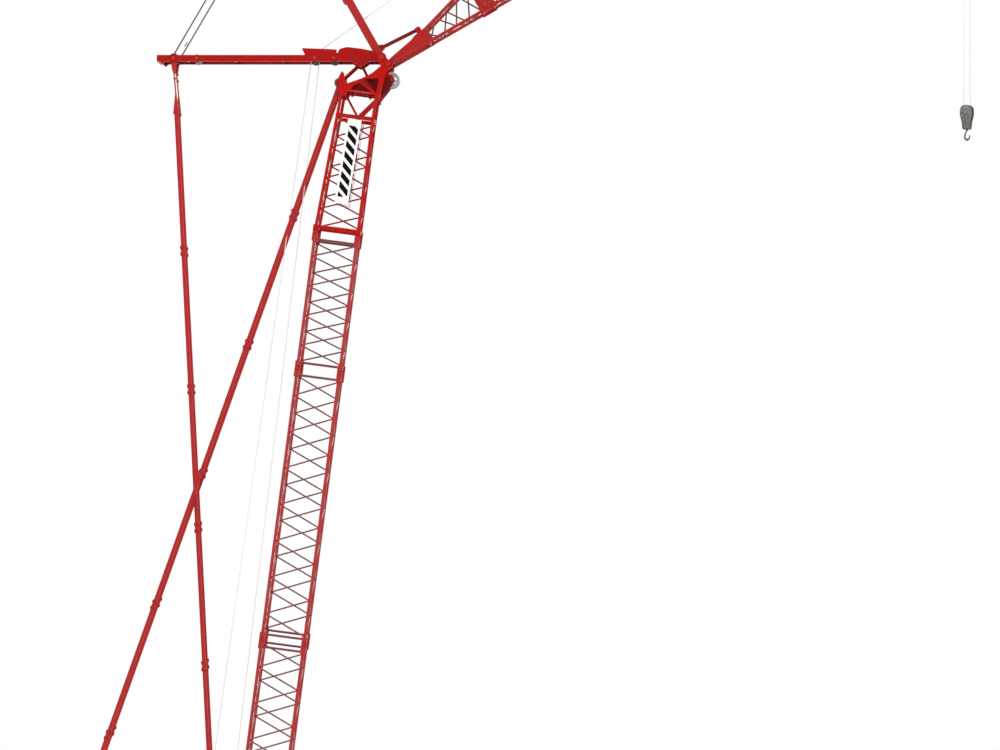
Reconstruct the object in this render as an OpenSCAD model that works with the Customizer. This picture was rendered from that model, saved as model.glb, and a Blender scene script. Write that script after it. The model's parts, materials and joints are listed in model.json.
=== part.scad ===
// Crawler crane with a lattice boom and a luffing jib, a display model at 1:50.
// Millimetres. +X forward over the tracks, +Y to the crane's left, +Z up.
// The origin is on the ground, under the middle of the slewing ring.

/* [Pose] */
// Lean of the boom forward from vertical
boom_lean = 7.48; // [6:0.01:10]
// Rise of the jib above level
jib_rise = 29.9; // [24:0.1:34]
// Lean of the front mast back from vertical
front_mast_lean = 29.4; // [26:0.1:34]
// Turn of the hook block about its falls
block_turn = 30; // [0:1:60]

/* [Boom] */
// Height of the boom foot pins above the ground
boom_foot_z = 44.2; // [43:0.1:47]
// Distance of the boom foot pins ahead of the slewing axis
boom_foot_x = 25.2; // [23:0.1:27]
// Length of the foot section
boom_foot_len = 200; // [180:1:220]
// Length of each long boom section
boom_long_len = 240; // [200:1:260]
// Length of the short boom section
boom_short_len = 120; // [100:1:140]
// Depth of the boom between chord centres, seen from the side
boom_depth = 37.2; // [34:0.1:40]
// Width of the boom between chord centres, seen from the front
boom_width = 46; // [44:0.1:50]
// Diameter of the boom chords
boom_chord_d = 2.8; // [2.6:0.1:3.2]
// Diameter of the boom lacing
boom_lace_d = 1.4; // [1:0.1:1.6]

/* [Jib] */
// Length of the jib foot section
jib_foot_len = 102; // [95:1:115]
// Length of the long jib section
jib_long_len = 240; // [200:1:260]
// Length of the short jib section
jib_short_len = 120; // [100:1:140]
// Length of the jib head from its joint to its sheave pin
jib_head_len = 121.5; // [115:0.5:140]
// Depth of the jib between chord centres
jib_depth = 26.5; // [24:0.1:29]
// Width of the jib between chord centres
jib_width = 31; // [30:0.1:34]
// Diameter of the jib chords
jib_chord_d = 2.9; // [2.6:0.1:3.1]
// Diameter of the jib lacing
jib_lace_d = 1.4; // [1:0.1:1.5]

/* [Masts] */
// Length of the rear mast from pivot to tip
rear_mast_len = 198; // [185:1:215]
// Depth of the rear mast beams
rear_mast_depth = 5.5; // [5:0.1:6.5]
// Half the distance between the rear mast beams
rear_mast_y = 13; // [12:0.1:14]
// Length of the front mast from pivot to sheave pin
front_mast_len = 183; // [170:1:195]
// Depth of the front mast beams
front_mast_depth = 6.9; // [5.8:0.1:7.4]
// Half the distance between the front mast beams
front_mast_y = 8; // [7.5:0.1:8.4]

/* [Ropes and stays] */
// Depth of a stay bar, seen from the side
stay_depth = 2.9; // [2.6:0.1:3.8]
// Thickness of a stay bar
stay_t = 1.4; // [1:0.1:1.6]
// Rods in each line of stays
stay_rods = 6; // [5:1:7]
// Diameter of a hoist rope
hoist_rope_d = 0.7; // [0.5:0.1:0.9]
// Diameter of a luffing rope
luff_rope_d = 0.8; // [0.6:0.1:1]
// Drop of the falls from the jib sheave pin to the top of the hook block
falls_len = 324.7; // [250:0.1:380]

/* [Undercarriage] */
// Overall length of the tracks
track_len = 182; // [170:1:200]
// Overall height of the tracks
track_h = 24; // [23:0.1:26]
// Width of the track shoes
shoe_w = 24; // [20:0.5:26]
// Distance between the middles of the tracks
track_gauge = 136; // [130:1:142]
// Underside of the car body above the ground
belly_z = 6.5; // [5.5:0.1:7.2]

/* [Superstructure] */
// Underside of the deck above the ground
deck_z = 31.5; // [31:0.1:33]
// Thickness of the deck
deck_t = 9.5; // [8:0.1:10.5]
// Half the width of the deck
deck_half_w = 29; // [28.5:0.1:30]
// Rear end of the deck behind the slewing axis
deck_tail = 122; // [116:1:128]
// Height of the A-frame pins above the deck
a_frame_pin_h = 16; // [14:0.1:18]
// Length of the A-frame from its pins to its head
a_frame_len = 253.8; // [240:0.1:265]
// Lean of the A-frame back from vertical
a_frame_lean = 26; // [22:0.1:28]
// Radius of the rope on the hoist drums
drum_r = 7; // [6:0.1:8]
// Length of a counterweight slab, along Y
slab_len = 44; // [40:1:48]
// Depth of a counterweight slab, along X
slab_depth = 38; // [34:1:40]
// Thickness of a counterweight slab
slab_t = 6.5; // [5.5:0.1:7.5]
// Slabs in each stack
slab_count = 6; // [4:1:7]

/* [Fits] */
// Radial clearance of a running pin
pin_gap = 0.06; // [0.03:0.01:0.09]
// Gap between faces that move past each other
side_gap = 0.3; // [0.2:0.05:0.4]

/* [Hidden] */
$fn = 32;

// Colours
crane_red = [0.78, 0.06, 0.05];
dark_red = [0.4, 0.04, 0.03];
steel_grey = [0.5, 0.5, 0.52];
dark_grey = [0.22, 0.22, 0.23];
rope_pale = [0.82, 0.82, 0.8];

// Sides of the flat-sided bars: chords, and lacing
chord_sides = 12;
lace_sides = 8;

// Boom frame: z runs up the boom from the foot pins, x points forward
boom_lower_z = boom_foot_len;
boom_middle_z = boom_lower_z + boom_long_len;
boom_upper_z = boom_middle_z + boom_long_len;
boom_head_z = boom_upper_z + boom_short_len;
// Heights on the boom head above its lower joint
head_lattice_len = 105;
head_floor_h = head_lattice_len + 20;
jib_pin_h = head_floor_h + 29.7;
mast_pin_h = jib_pin_h + 5.4;
stay_pin_h = head_floor_h + 7.4;
front_sheave_drop = 11.8;
front_sheave_h = jib_pin_h - front_sheave_drop;
rear_sheave_h = head_floor_h + 9.5;
// Forward places on the boom head
head_rear_x = -12.8;
jib_pin_x = 25.6;
mast_pin_x = jib_pin_x - 6.4;
stay_pin_x = -15;
front_sheave_x = jib_pin_x + 4.2;
rear_sheave_x = -17.3;
head_plate_t = 1.6;
head_plate_y = boom_width / 2;
rear_beam_w = 3;

// A point on the boom, given forward and up the boom, in the crane's frame
function on_boom(x, z, y = 0) = [
  boom_foot_x + z * sin(boom_lean) + x * cos(boom_lean), y,
  boom_foot_z + z * cos(boom_lean) - x * sin(boom_lean)
];
jib_pin = on_boom(jib_pin_x, boom_head_z + jib_pin_h);
mast_pin = on_boom(mast_pin_x, boom_head_z + mast_pin_h);
// A point on the jib, given along the jib and up from its lower chords
function on_jib(s, n, y = 0) = [
  jib_pin[0] + s * cos(jib_rise) - n * sin(jib_rise), y,
  jib_pin[2] + s * sin(jib_rise) + n * cos(jib_rise)
];
// A point on a mast, given its lean back from vertical, the length along it and up from it
function on_mast(lean, s, n, y = 0) = [
  mast_pin[0] - s * sin(lean) + n * cos(lean), y,
  mast_pin[2] + s * cos(lean) + n * sin(lean)
];
function on_rear_mast(s, n, y = 0) = on_mast(90, s, n, y);
function on_front_mast(s, n, y = 0) = on_mast(front_mast_lean, s, n, y);

jib_long_s = jib_foot_len;
jib_short_s = jib_long_s + jib_long_len;
jib_head_s = jib_short_s + jib_short_len;
jib_tip_s = jib_head_s + jib_head_len;

// A-frame
deck_top = deck_z + deck_t;
a_frame_foot = [-0.9, 0, deck_top + a_frame_pin_h];
a_frame_top = a_frame_foot + a_frame_len * [-sin(a_frame_lean), 0, cos(a_frame_lean)];
a_frame_y = deck_half_w + 4.5;
a_frame_leg_t = 4;
boom_stay_y = 18;

// Line from one point to another at the share k of the way
function between(p, q, k) = p + (q - p) * k;
// Offset to the side of the line from p to q in the XZ plane, by the distance d
function beside(p, q, d) = let (v = q - p, len = norm([v[0], v[2]])) [v[2], 0, -v[0]] * d / len;

// A round bar from p to q
module rod(p, q, d, sides = lace_sides) {
  v = q - p;
  len = norm(v);
  translate(p)
    rotate([0, acos(max(-1, min(1, v[2] / len))), atan2(v[1], v[0])])
      cylinder(h = len, d = d, $fn = sides);
}

// A pin along Y, centred, with a round head at each end
module headed_pin(r, span, head_r, head_t) {
  rotate([90, 0, 0]) cylinder(h = span + 2 * head_t, r = r, center = true);
  for (side = [-1, 1])
    translate([0, side * (span + head_t) / 2, 0])
      rotate([90, 0, 0]) cylinder(h = head_t, r = head_r, center = true);
}

// A plate in the XZ plane, drawn by its children, with its middle at y
module plate(y, t) translate([0, y + t / 2, 0]) rotate([90, 0, 0]) linear_extrude(t) children();

module in_boom() translate([boom_foot_x, 0, boom_foot_z]) rotate([0, boom_lean, 0]) children();
// In the jib's frame x runs along the jib and z up from its lower chords
module in_jib() translate(jib_pin) rotate([0, -jib_rise, 0]) children();
// In a mast's frame x runs along the mast and z up or forward from it
module in_mast(lean) translate(mast_pin) rotate([0, -90 - lean, 0]) mirror([0, 0, 1]) children();

// ---------------------------------------------------------------- lattice

// Corners of a lattice going round it, as [x, y]
function corners(x_low, x_high, w) =
  [[x_high, -w / 2], [x_high, w / 2], [x_low, w / 2], [x_low, -w / 2]];
function chord_point(c0, c1, z0, z1, i, z) =
  let (k = (z - z0) / (z1 - z0), c = c0[i] + (c1[i] - c0[i]) * k) [c[0], c[1], z];

// Four chords from z0 to z1 with zigzag lacing on all four faces.
// The lacing starts and ends the given gap from the ends.
module lattice(c0, c1, z0, z1, bays, chord_d, lace_d, gap) {
  for (i = [0:3])
    rod(chord_point(c0, c1, z0, z1, i, z0), chord_point(c0, c1, z0, z1, i, z1), chord_d, chord_sides);
  bay = (z1 - z0 - 2 * gap) / bays;
  for (i = [0:3], b = [0:bays - 1]) {
    j = (i + 1) % 4;
    low = z0 + gap + b * bay;
    from = (b + i) % 2 == 0 ? i : j;
    to = from == i ? j : i;
    rod(chord_point(c0, c1, z0, z1, from, low), chord_point(c0, c1, z0, z1, to, low + bay), lace_d);
  }
}

// Bars round a lattice at one height
module cross_bars(c, z, d) {
  for (i = [0:3]) {
    j = (i + 1) % 4;
    rod([c[i][0], c[i][1], z], [c[j][0], c[j][1], z], d);
  }
}

// Chord joints: a fork on the lower section and a tongue on the upper one
joint_w = 4.6;
joint_reach = 7.2;
joint_block = 3;
ear_t = 1.3;
tongue_t = 1.7;
joint_pin_r = 0.9;

module joint_ear(t, r, up) {
  plate(0, t) difference() {
    union() {
      circle(r = joint_w / 2);
      translate([-joint_w / 2, up > 0 ? 0 : -joint_block]) square([joint_w, joint_block]);
    }
    circle(r = r);
  }
}
// Fork whose pin is at the origin, on a chord that comes from below
module joint_fork() {
  for (side = [-1, 1])
    translate([0, side * (tongue_t / 2 + 0.1 + ear_t / 2), 0]) joint_ear(ear_t, joint_pin_r + 0.02, -1);
  translate([-joint_w / 2, -joint_w / 2, -joint_reach])
    cube([joint_w, joint_w, joint_reach - joint_block + 0.2]);
}
// Tongue whose pin is at the origin, on a chord that goes on above
module joint_tongue() {
  joint_ear(tongue_t, joint_pin_r + 0.02, 1);
  translate([-joint_w / 2, -joint_w / 2, joint_block - 0.2])
    cube([joint_w, joint_w, joint_reach - joint_block + 0.2]);
}
module joint_pins(c, z) {
  for (p = c) translate([p[0], p[1], z]) headed_pin(joint_pin_r, joint_w, 1.4, 0.5);
}
module forks(c, z) for (p = c) translate([p[0], p[1], z]) joint_fork();
module tongues(c, z) for (p = c) translate([p[0], p[1], z]) joint_tongue();

// A straight section from 0 to len, with joints at both ends
joint_bar_gap = 5.6;
lace_gap = 7.5;
module section(c, len, bays, chord_d, lace_d) {
  lattice_ends = joint_reach - 1;
  lattice(c, c, lattice_ends, len - lattice_ends, bays, chord_d, lace_d, lace_gap - lattice_ends);
  for (z = [joint_bar_gap, len - joint_bar_gap]) cross_bars(c, z, lace_d + 0.7);
  tongues(c, 0);
  forks(c, len);
}

// ---------------------------------------------------------------- boom

boom_c = corners(-boom_depth / 2, boom_depth / 2, boom_width);
// Bays are even in number, so that each section starts as the last one ended
function even_bays(len, bay) = 2 * round((len - 2 * lace_gap) / bay / 2);
boom_bay = 16.07;
boom_short_bay = 13.1;

foot_taper_z = 118;
foot_lug_r = 5;
foot_lug_t = 6;
foot_pin_r = 1.8;
rear_stay_z = 170;
// Distance of the rear stays' lower pins behind the rear chords
rear_stay_off = 4.2;

module boom_foot() color(crane_red) in_boom() difference() {
  union() {
    foot_c = corners(-2, 2, boom_width);
    start = 9;
    lattice(foot_c, boom_c, start, foot_taper_z, 8, boom_chord_d, boom_lace_d, 8);
    lattice(boom_c, boom_c, foot_taper_z, boom_foot_len - joint_reach + 1, 5, boom_chord_d,
            boom_lace_d, 1);
    cross_bars(boom_c, foot_taper_z, boom_lace_d + 0.7);
    cross_bars(boom_c, boom_foot_len - joint_bar_gap, boom_lace_d + 0.7);
    rod([0, -boom_width / 2, start + 4], [0, boom_width / 2, start + 4], 4, chord_sides);
    forks(boom_c, boom_foot_len);
    for (side = [-1, 1]) {
      plate(side * boom_width / 2, foot_lug_t) circle(r = foot_lug_r);
      plate(side * boom_width / 2, foot_lug_t - 1)
        polygon([[-4.8, 0], [4.8, 0], [3.6, start + 8], [-3.6, start + 8]]);
      // Forks of the rear stays, on a bar between the rear chords
      for (ear = [-1, 1]) plate(side * rear_stay_y + ear * fork_y, fork_t) difference() {
        union() {
          translate([-boom_depth / 2 - rear_stay_off, rear_stay_z]) circle(r = 2.2);
          translate([-boom_depth / 2 - rear_stay_off, rear_stay_z - 2.2]) square([rear_stay_off + 0.8, 4.4]);
        }
        translate([-boom_depth / 2 - rear_stay_off, rear_stay_z]) circle(r = stay_pin_r + 0.02);
      }
    }
    rod([-boom_depth / 2, -boom_width / 2, rear_stay_z], [-boom_depth / 2, boom_width / 2, rear_stay_z],
        2.6, chord_sides);
  }
  for (side = [-1, 1])
    plate(side * boom_width / 2, foot_lug_t + 1) circle(r = foot_pin_r + pin_gap);
}

module boom_section_lower() color(crane_red) in_boom() translate([0, 0, boom_lower_z])
  section(boom_c, boom_long_len, even_bays(boom_long_len, boom_bay), boom_chord_d, boom_lace_d);
module boom_section_middle() color(crane_red) in_boom() translate([0, 0, boom_middle_z])
  section(boom_c, boom_long_len, even_bays(boom_long_len, boom_bay), boom_chord_d, boom_lace_d);
module boom_section_upper() color(crane_red) in_boom() translate([0, 0, boom_upper_z])
  section(boom_c, boom_short_len, even_bays(boom_short_len, boom_short_bay), boom_chord_d, boom_lace_d);

module boom_pins() color(steel_grey) in_boom() {
  for (z = [boom_lower_z, boom_middle_z, boom_upper_z, boom_head_z]) joint_pins(boom_c, z);
  for (side = [-1, 1]) translate([-boom_depth / 2 - rear_stay_off, side * rear_stay_y, rear_stay_z])
    headed_pin(stay_pin_r, 2 * fork_y + fork_t, 1.3, 0.3);
}

// Outline of a side plate of the boom head, with its window
module head_cheek_outline() {
  f = head_floor_h;
  difference() {
    union() {
      polygon([
        [-13.4, f - 2], [-14.7, f + 1.2], [-14.9, f + 5.3], [-15.6, f + 9], [-16.3, f + 11.3],
        [-14.5, f + 16.9], [-13.4, f + 18.4], [-11.5, f + 16.4], [-10.5, f + 12.1], [-9.3, f + 9.6],
        [-7.1, f + 8.5], [-2.5, f + 10.9], [3.4, f + 13.9], [9.1, f + 17.3], [13.2, f + 20.6],
        [19.4, f + 27.3], [mast_pin_x - 3.6, mast_pin_h - 1.4], [mast_pin_x + 1, mast_pin_h + 3],
        [jib_pin_x + 3.6, jib_pin_h], [jib_pin_x + 1.4, jib_pin_h - 4.6], [24.4, f + 21.6],
        [21.6, f - 1], [21.4, f - 3], [19.4, f - 3], [17.6, floor_h], [-6.6, floor_h], [-8, f - 2.6]
      ]);
      translate([jib_pin_x, jib_pin_h]) circle(r = 3.9);
      translate([mast_pin_x, mast_pin_h]) circle(r = 3.9);
    }
    difference() {
      polygon([[-4, floor_h + 1], [-2, f + 7.3], [7.9, f + 14], [19.4, f + 16.4], [18.4, floor_h + 1]]);
      polygon([[2.6, f + 10], [5.4, f + 14.4], [19, f + 2.6], [15.6, f + 2.6]]);
    }
    translate([jib_pin_x, jib_pin_h]) circle(r = 1.6);
    translate([mast_pin_x, mast_pin_h]) circle(r = 1.6);
  }
}

sheave_cheek_y = 9;
sheave_cheek_t = 1.4;
// Underside of the floor of the head's box
floor_h = head_floor_h + 2.4;
// Inner plates of the head, which carry the sheaves between them
module head_inner_outline() {
  f = head_floor_h;
  difference() {
    union() {
      polygon([
        [-11, f + 1], [-11.6, f + 9], [-7.1, f + 8.2], [9, f + 16.8], [19.4, f + 23], [24.2, f + 24],
        [front_sheave_x - 3.6, front_sheave_h + 5.2], [front_sheave_x + 0.8, front_sheave_h + 2.6],
        [front_sheave_x + 2.4, front_sheave_h], [front_sheave_x + 0.7, f + 13], [28.4, f + 9.2],
        [22.6, f - 0.6], [20, f - 3], [18, f + 1]
      ]);
      translate([rear_sheave_x + 1, rear_sheave_h]) circle(r = 2.4);
      translate([front_sheave_x, front_sheave_h]) circle(r = 2.4);
      polygon([[rear_sheave_x, rear_sheave_h - 2.1], [-10, f + 3], [-10, f + 8.6],
               [rear_sheave_x, rear_sheave_h + 2.1]]);
    }
    translate([rear_sheave_x + 1, rear_sheave_h]) circle(r = 1);
    translate([front_sheave_x, front_sheave_h]) circle(r = 1.2);
  }
}

module boom_head() color(crane_red) {
  in_boom() translate([0, 0, boom_head_z]) head_frame();
  head_struts();
}
// Places of the cross rods that the mast's struts stand on, as [x, h]
strut_foot_rear = [-12.6, head_floor_h + 13.4];
strut_foot_front = [9.6, head_floor_h + 16];
module head_frame() {
  low_z = joint_reach - 1;
  top_c = corners(head_rear_x, boom_depth / 2, boom_width);
  wall_y = (head_plate_y + sheave_cheek_y) / 2;
  tongues(boom_c, 0);
  lattice(boom_c, top_c, low_z, head_lattice_len, 7, boom_chord_d, boom_lace_d, 1.6);
  cross_bars(boom_c, joint_bar_gap, 3.4);
  cross_bars(top_c, head_lattice_len, 3.6);
  for (side = [-1, 1]) {
    y = side * boom_width / 2;
    // Chord ends up to the box
    rod([head_rear_x, y, head_lattice_len - 0.5], [head_rear_x + 1.4, y, floor_h],
        boom_chord_d, chord_sides);
    rod([boom_depth / 2, y, head_lattice_len - 0.5], [boom_depth / 2 + 0.4, y, floor_h],
        boom_chord_d, chord_sides);
    // Braces under the box, in line with the inner plates
    brace_y = side * sheave_cheek_y;
    rod([5.2, brace_y, head_lattice_len], [-11, brace_y, floor_h + 0.4], 2);
    rod([3.8, brace_y, head_lattice_len], [20, brace_y, head_floor_h + 0.2], 2.7);
    // Side plates and inner plates
    plate(side * (head_plate_y + 0.3), head_plate_t) head_cheek_outline();
    plate(brace_y, sheave_cheek_t) head_inner_outline();
    // Front wall of the box, on each side of the sheaves
    plate(side * wall_y, head_plate_y - sheave_cheek_y)
      polygon([[20.4, head_floor_h - 1], [21.6, head_floor_h - 1], [24.8, head_floor_h + 22],
               [23.6, head_floor_h + 22]]);
    // Doublers round the jib pins
    plate(side * (head_plate_y + 1.4), 1.2) difference() {
      union() {
        translate([jib_pin_x, jib_pin_h]) circle(r = 3);
        translate([mast_pin_x, mast_pin_h]) circle(r = 3);
      }
      translate([jib_pin_x, jib_pin_h]) circle(r = 1.6);
      translate([mast_pin_x, mast_pin_h]) circle(r = 1.6);
    }
  }
  // Cross bar that the braces stand on
  rod([4.4, -head_plate_y, head_lattice_len + 0.2], [4.4, head_plate_y, head_lattice_len + 0.2], 3.4);
  // Floor and rear wall of the box, with rope rollers under the floor
  translate([-11.2, -head_plate_y, floor_h]) cube([30.6, boom_width, 1.2]);
  translate([-11.2, -head_plate_y, floor_h]) cube([1.4, boom_width, 6]);
  for (x = [-3.4, 12.6]) {
    translate([x, 0, floor_h - 2]) rotate([90, 0, 0]) cylinder(h = 9, r = 1.3, center = true);
    for (y = [-4.4, 4.4]) translate([x - 0.8, y - 0.5, floor_h - 2]) cube([1.6, 1, 2.4]);
  }
  for (p = [strut_foot_rear, strut_foot_front])
    rod([p[0], -head_plate_y, p[1]], [p[0], head_plate_y, p[1]], 2.4);
  // Forks that hold the upper ends of the boom stays
  for (side = [-1, 1], lug = [-1, 1])
    plate(side * boom_stay_y + lug * (stay_t / 2 + side_gap + 0.6), 1.2) difference() {
      union() {
        translate([stay_pin_x, stay_pin_h]) circle(r = 2.2);
        polygon([[stay_pin_x, stay_pin_h - 2.2], [-10.6, floor_h], [-10.6, stay_pin_h + 1],
                 [stay_pin_x, stay_pin_h + 2.2]]);
      }
      translate([stay_pin_x, stay_pin_h]) circle(r = stay_pin_r);
    }
}
// Struts that prop the rear mast on the head, each with an eye on the mast's foot tube
module head_struts() {
  for (y = [-strut_y, strut_y]) {
    eye = on_rear_mast(strut_s, -strut_drop, y);
    translate(eye) plate(0, 2.2) difference() {
      circle(r = 2.7);
      circle(r = foot_tube_r + 0.05);
    }
    for (p = [strut_foot_rear, strut_foot_front]) {
      foot = on_boom(p[0], boom_head_z + p[1], y);
      rod(eye + (foot - eye) * 2 / norm(foot - eye), foot, 2.3);
    }
  }
}
strut_s = 19.2;
strut_drop = rear_mast_depth / 2 + 0.9;
strut_y = 5;
foot_tube_r = 1.3;

// Depth of a sheave groove, its flat bottom, and the radius at which a rope runs in it
groove = 0.9;
groove_flat = 0.25;
function rope_run(r) = r - groove + hoist_rope_d / 2 + 0.05;

// A grooved sheave on the Y axis, with a thin web between hub and rim where there is room
module sheave(r, w, bore_r) {
  rim = 1.6;
  hub = bore_r + 1.2;
  web = r - rim - hub > 1.2 ? [[hub, 1], [hub + 0.2, 0.5], [r - rim - 0.4, 0.5], [r - rim, 1]] : [];
  half = concat([[bore_r, 1]], web, [[r, 1]]);
  rotate([90, 0, 0]) rotate_extrude() polygon(concat(
    [for (p = half) [p[0], -p[1] * w / 2]],
    [[r, -w / 2 + 0.3], [r - groove, -groove_flat], [r - groove, groove_flat], [r, w / 2 - 0.3]],
    [for (i = [len(half) - 1:-1:0]) [half[i][0], half[i][1] * w / 2]]
  ));
}
// Openings between the spokes of a large sheave
module spoke_windows(r_in, r_out, w, spokes) rotate([90, 0, 0]) linear_extrude(w, center = true)
  difference() {
    circle(r = r_out);
    circle(r = r_in);
    for (i = [0:spokes - 1]) rotate(i * 360 / spokes) translate([0, -0.5]) square([r_out + 1, 1]);
  }

front_sheave_r = 6.9;
rear_sheave_r = 4;
sheave_w = 3;
head_sheaves_y = [-4.6, 4.6];

module head_sheave_front() color(steel_grey) in_boom()
  translate([front_sheave_x, 0, boom_head_z + front_sheave_h])
    for (y = head_sheaves_y) translate([0, y, 0]) difference() {
      sheave(front_sheave_r, sheave_w, 1.2 + pin_gap);
      spoke_windows(2.7, 4.4, sheave_w + 1, 5);
    }
module head_sheave_rear() color(dark_grey) in_boom()
  translate([rear_sheave_x + 1, 0, boom_head_z + rear_sheave_h])
    for (y = head_sheaves_y) translate([0, y, 0]) sheave(rear_sheave_r, sheave_w, 1 + pin_gap);

jib_lug_y = jib_width / 2;
// Shafts of the head: sheave shafts, the jib foot pins and the mast shaft
module head_shafts() color(steel_grey) in_boom() translate([0, 0, boom_head_z]) {
  translate([front_sheave_x, 0, front_sheave_h])
    headed_pin(1.2, 2 * sheave_cheek_y + sheave_cheek_t, 1.6, 0.4);
  translate([rear_sheave_x + 1, 0, rear_sheave_h])
    headed_pin(1, 2 * sheave_cheek_y + sheave_cheek_t, 1.6, 0.6);
  for (side = [-1, 1])
    translate([stay_pin_x, side * boom_stay_y, stay_pin_h])
      headed_pin(stay_pin_r, stay_t + 2 * side_gap + 2.4, 1.5, 0.4);
  translate([mast_pin_x, 0, mast_pin_h]) headed_pin(1.6, boom_width + 4, 2.2, 0.5);
  for (side = [-1, 1])
    translate([jib_pin_x, side * (head_plate_y + 2), jib_pin_h]) rotate([side * 90, 0, 0]) {
      cylinder(h = head_plate_y + 2 - jib_lug_y + 2.2, r = 1.6);
      translate([0, 0, -0.5]) cylinder(h = 0.5, r = 2.2);
    }
}

// Name board on the near and far faces of the head lattice, left plain
sign_len = 75;
sign_w = 12;
module sign_plate() color("white") in_boom()
  for (side = [-1, 1])
    translate([1.9, side * (boom_width / 2 + 1), boom_head_z + 65.4])
      rotate([0, 1.9, 0]) cube([sign_w, 0.6, sign_len], center = true);

// ---------------------------------------------------------------- masts

mast_hub_r = 3.4;
rear_sheave_s = rear_mast_len - 14.7;
roller_places_s = [42.6, 59.3];
roller_n = 0.4;
mast_roller_r = 4.5;
roller_core_r = 3.6;
idler_pin_s = rear_mast_len - 35.1;
mast_sheave_r = 3.8;

// Rear mast: two beams that lie level, with cross tubes between them
module rear_beam_outline() {
  half = rear_mast_depth / 2;
  difference() {
    union() {
      translate([0, -half]) square([rear_mast_len, rear_mast_depth]);
      circle(r = mast_hub_r);
      // Raised web near the pivot
      polygon([[2, half - 1], [3.4, half + 1.4], [9.2, half + 3.8], [19.4, half + 5.7], [31, half + 7],
               [36.6, half + 5.6], [38.6, half + 3.6], [38.9, half - 1]]);
      // Rope guard behind it
      polygon([[40, half - 1], [40, half + 4.8], [48, half + 5.2], [70.6, half + 6], [69.8, half + 4.2],
               [67.4, half - 1]]);
      // Lug under the tip
      polygon([[rear_mast_len - 2, -half + 0.5], [rear_mast_len - 8, -half + 0.5],
               [rear_mast_len - 5, -half - 2.2]]);
    }
    circle(r = 1.62);
    for (s = [rear_sheave_s, idler_pin_s]) translate([s, 0]) circle(r = 1);
    for (s = roller_places_s) translate([s, roller_n]) circle(r = 1);
  }
}
module rear_mast() color(crane_red) in_mast(90) {
  half = rear_mast_depth / 2;
  for (side = [-1, 1]) {
    plate(side * rear_mast_y, rear_beam_w) rear_beam_outline();
    // Lug of the foot tube, which stands on the head struts
    plate(side * rear_mast_y, rear_beam_w - 0.6)
      polygon([[strut_s + 8, -half + 0.5], [strut_s - 8, -half + 0.5], [strut_s - 1.2, -half - 4.6],
               [strut_s + 1.2, -half - 4.6]]);
  }
  translate([strut_s, 0, -strut_drop]) rotate([90, 0, 0])
    cylinder(h = 2 * rear_mast_y, r = foot_tube_r, center = true);
  for (s = [12, 88, rear_mast_len - 68, rear_mast_len - 26])
    translate([s, 0, 0]) rotate([90, 0, 0])
      cylinder(h = 2 * rear_mast_y, d = 3.4, center = true, $fn = chord_sides);
  translate([rear_mast_len - 3, -rear_mast_y, -half]) cube([3, 2 * rear_mast_y, rear_mast_depth]);
  for (s = [44, 66]) translate([s, 0, half + 3]) rotate([90, 0, 0])
    cylinder(h = 2 * rear_mast_y, d = 1.6, center = true, $fn = lace_sides);
}

luff_y = [-1.6, 1.6];
module rear_mast_sheaves() color(dark_grey) in_mast(90) {
  wide = 2 * rear_mast_y - rear_beam_w;
  span = 2 * rear_mast_y + rear_beam_w;
  for (s = [rear_sheave_s, idler_pin_s]) translate([s, 0, 0]) headed_pin(1, span, 1.6, 0.6);
  for (s = roller_places_s) translate([s, 0, roller_n]) {
    headed_pin(1, span, 1.4, 0.3);
    rotate([90, 0, 0]) cylinder(h = wide - 2, r = roller_core_r, center = true);
    for (y = [-10, -2.5, 2.5, 10]) translate([0, y, 0]) rotate([90, 0, 0])
      cylinder(h = 0.8, r = mast_roller_r, center = true);
  }
  for (y = luff_y) translate([rear_sheave_s, y, 0]) sheave(mast_sheave_r, 2.6, 1);
  for (side = [-1, 1]) translate([rear_sheave_s, side * (wide / 2 + 3) / 2, 0])
    rotate([90, 0, 0]) cylinder(h = wide / 2 - 3.6, r = 1.8, center = true);
  translate([idler_pin_s, 0, 0]) rotate([90, 0, 0]) cylinder(h = wide - 2, r = 3.6, center = true);
}

// The front mast's beams sit back from the line of its pins
front_mast_back = 0.5;
stop_pin = [9.7, front_mast_depth / 2 + 1.7];
mast_lug_s = 62;
module front_mast() color(crane_red) in_mast(front_mast_lean) {
  half = front_mast_depth / 2;
  for (side = [-1, 1]) {
    plate(side * front_mast_y, 2.6) difference() {
      union() {
        translate([0, -front_mast_back])
          polygon([[0, -half], [front_mast_len, -half + 0.2], [front_mast_len, half - 0.2], [0, half]]);
        circle(r = mast_hub_r);
        translate([front_mast_len, 0]) circle(r = 3.4);
        translate([mast_lug_s, -front_mast_back - 0.8]) circle(r = 4.2);
      }
      circle(r = 1.6 + pin_gap);
      translate([front_mast_len, 0]) circle(r = 1);
    }
    // Ears of the stop strut
    plate(side * 3, 1.4) difference() {
      union() {
        polygon([[5, 0], [15, 0], [stop_pin[0] + 2.1, stop_pin[1]], [stop_pin[0] - 2.1, stop_pin[1]]]);
        translate(stop_pin) circle(r = 2.2);
      }
      translate(stop_pin) circle(r = 0.92);
    }
  }
  for (s = [14, mast_lug_s, front_mast_len - 73, front_mast_len - 25])
    translate([s, 0, 0]) rotate([90, 0, 0])
      cylinder(h = 2 * front_mast_y, d = 3, center = true, $fn = chord_sides);
}

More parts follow.
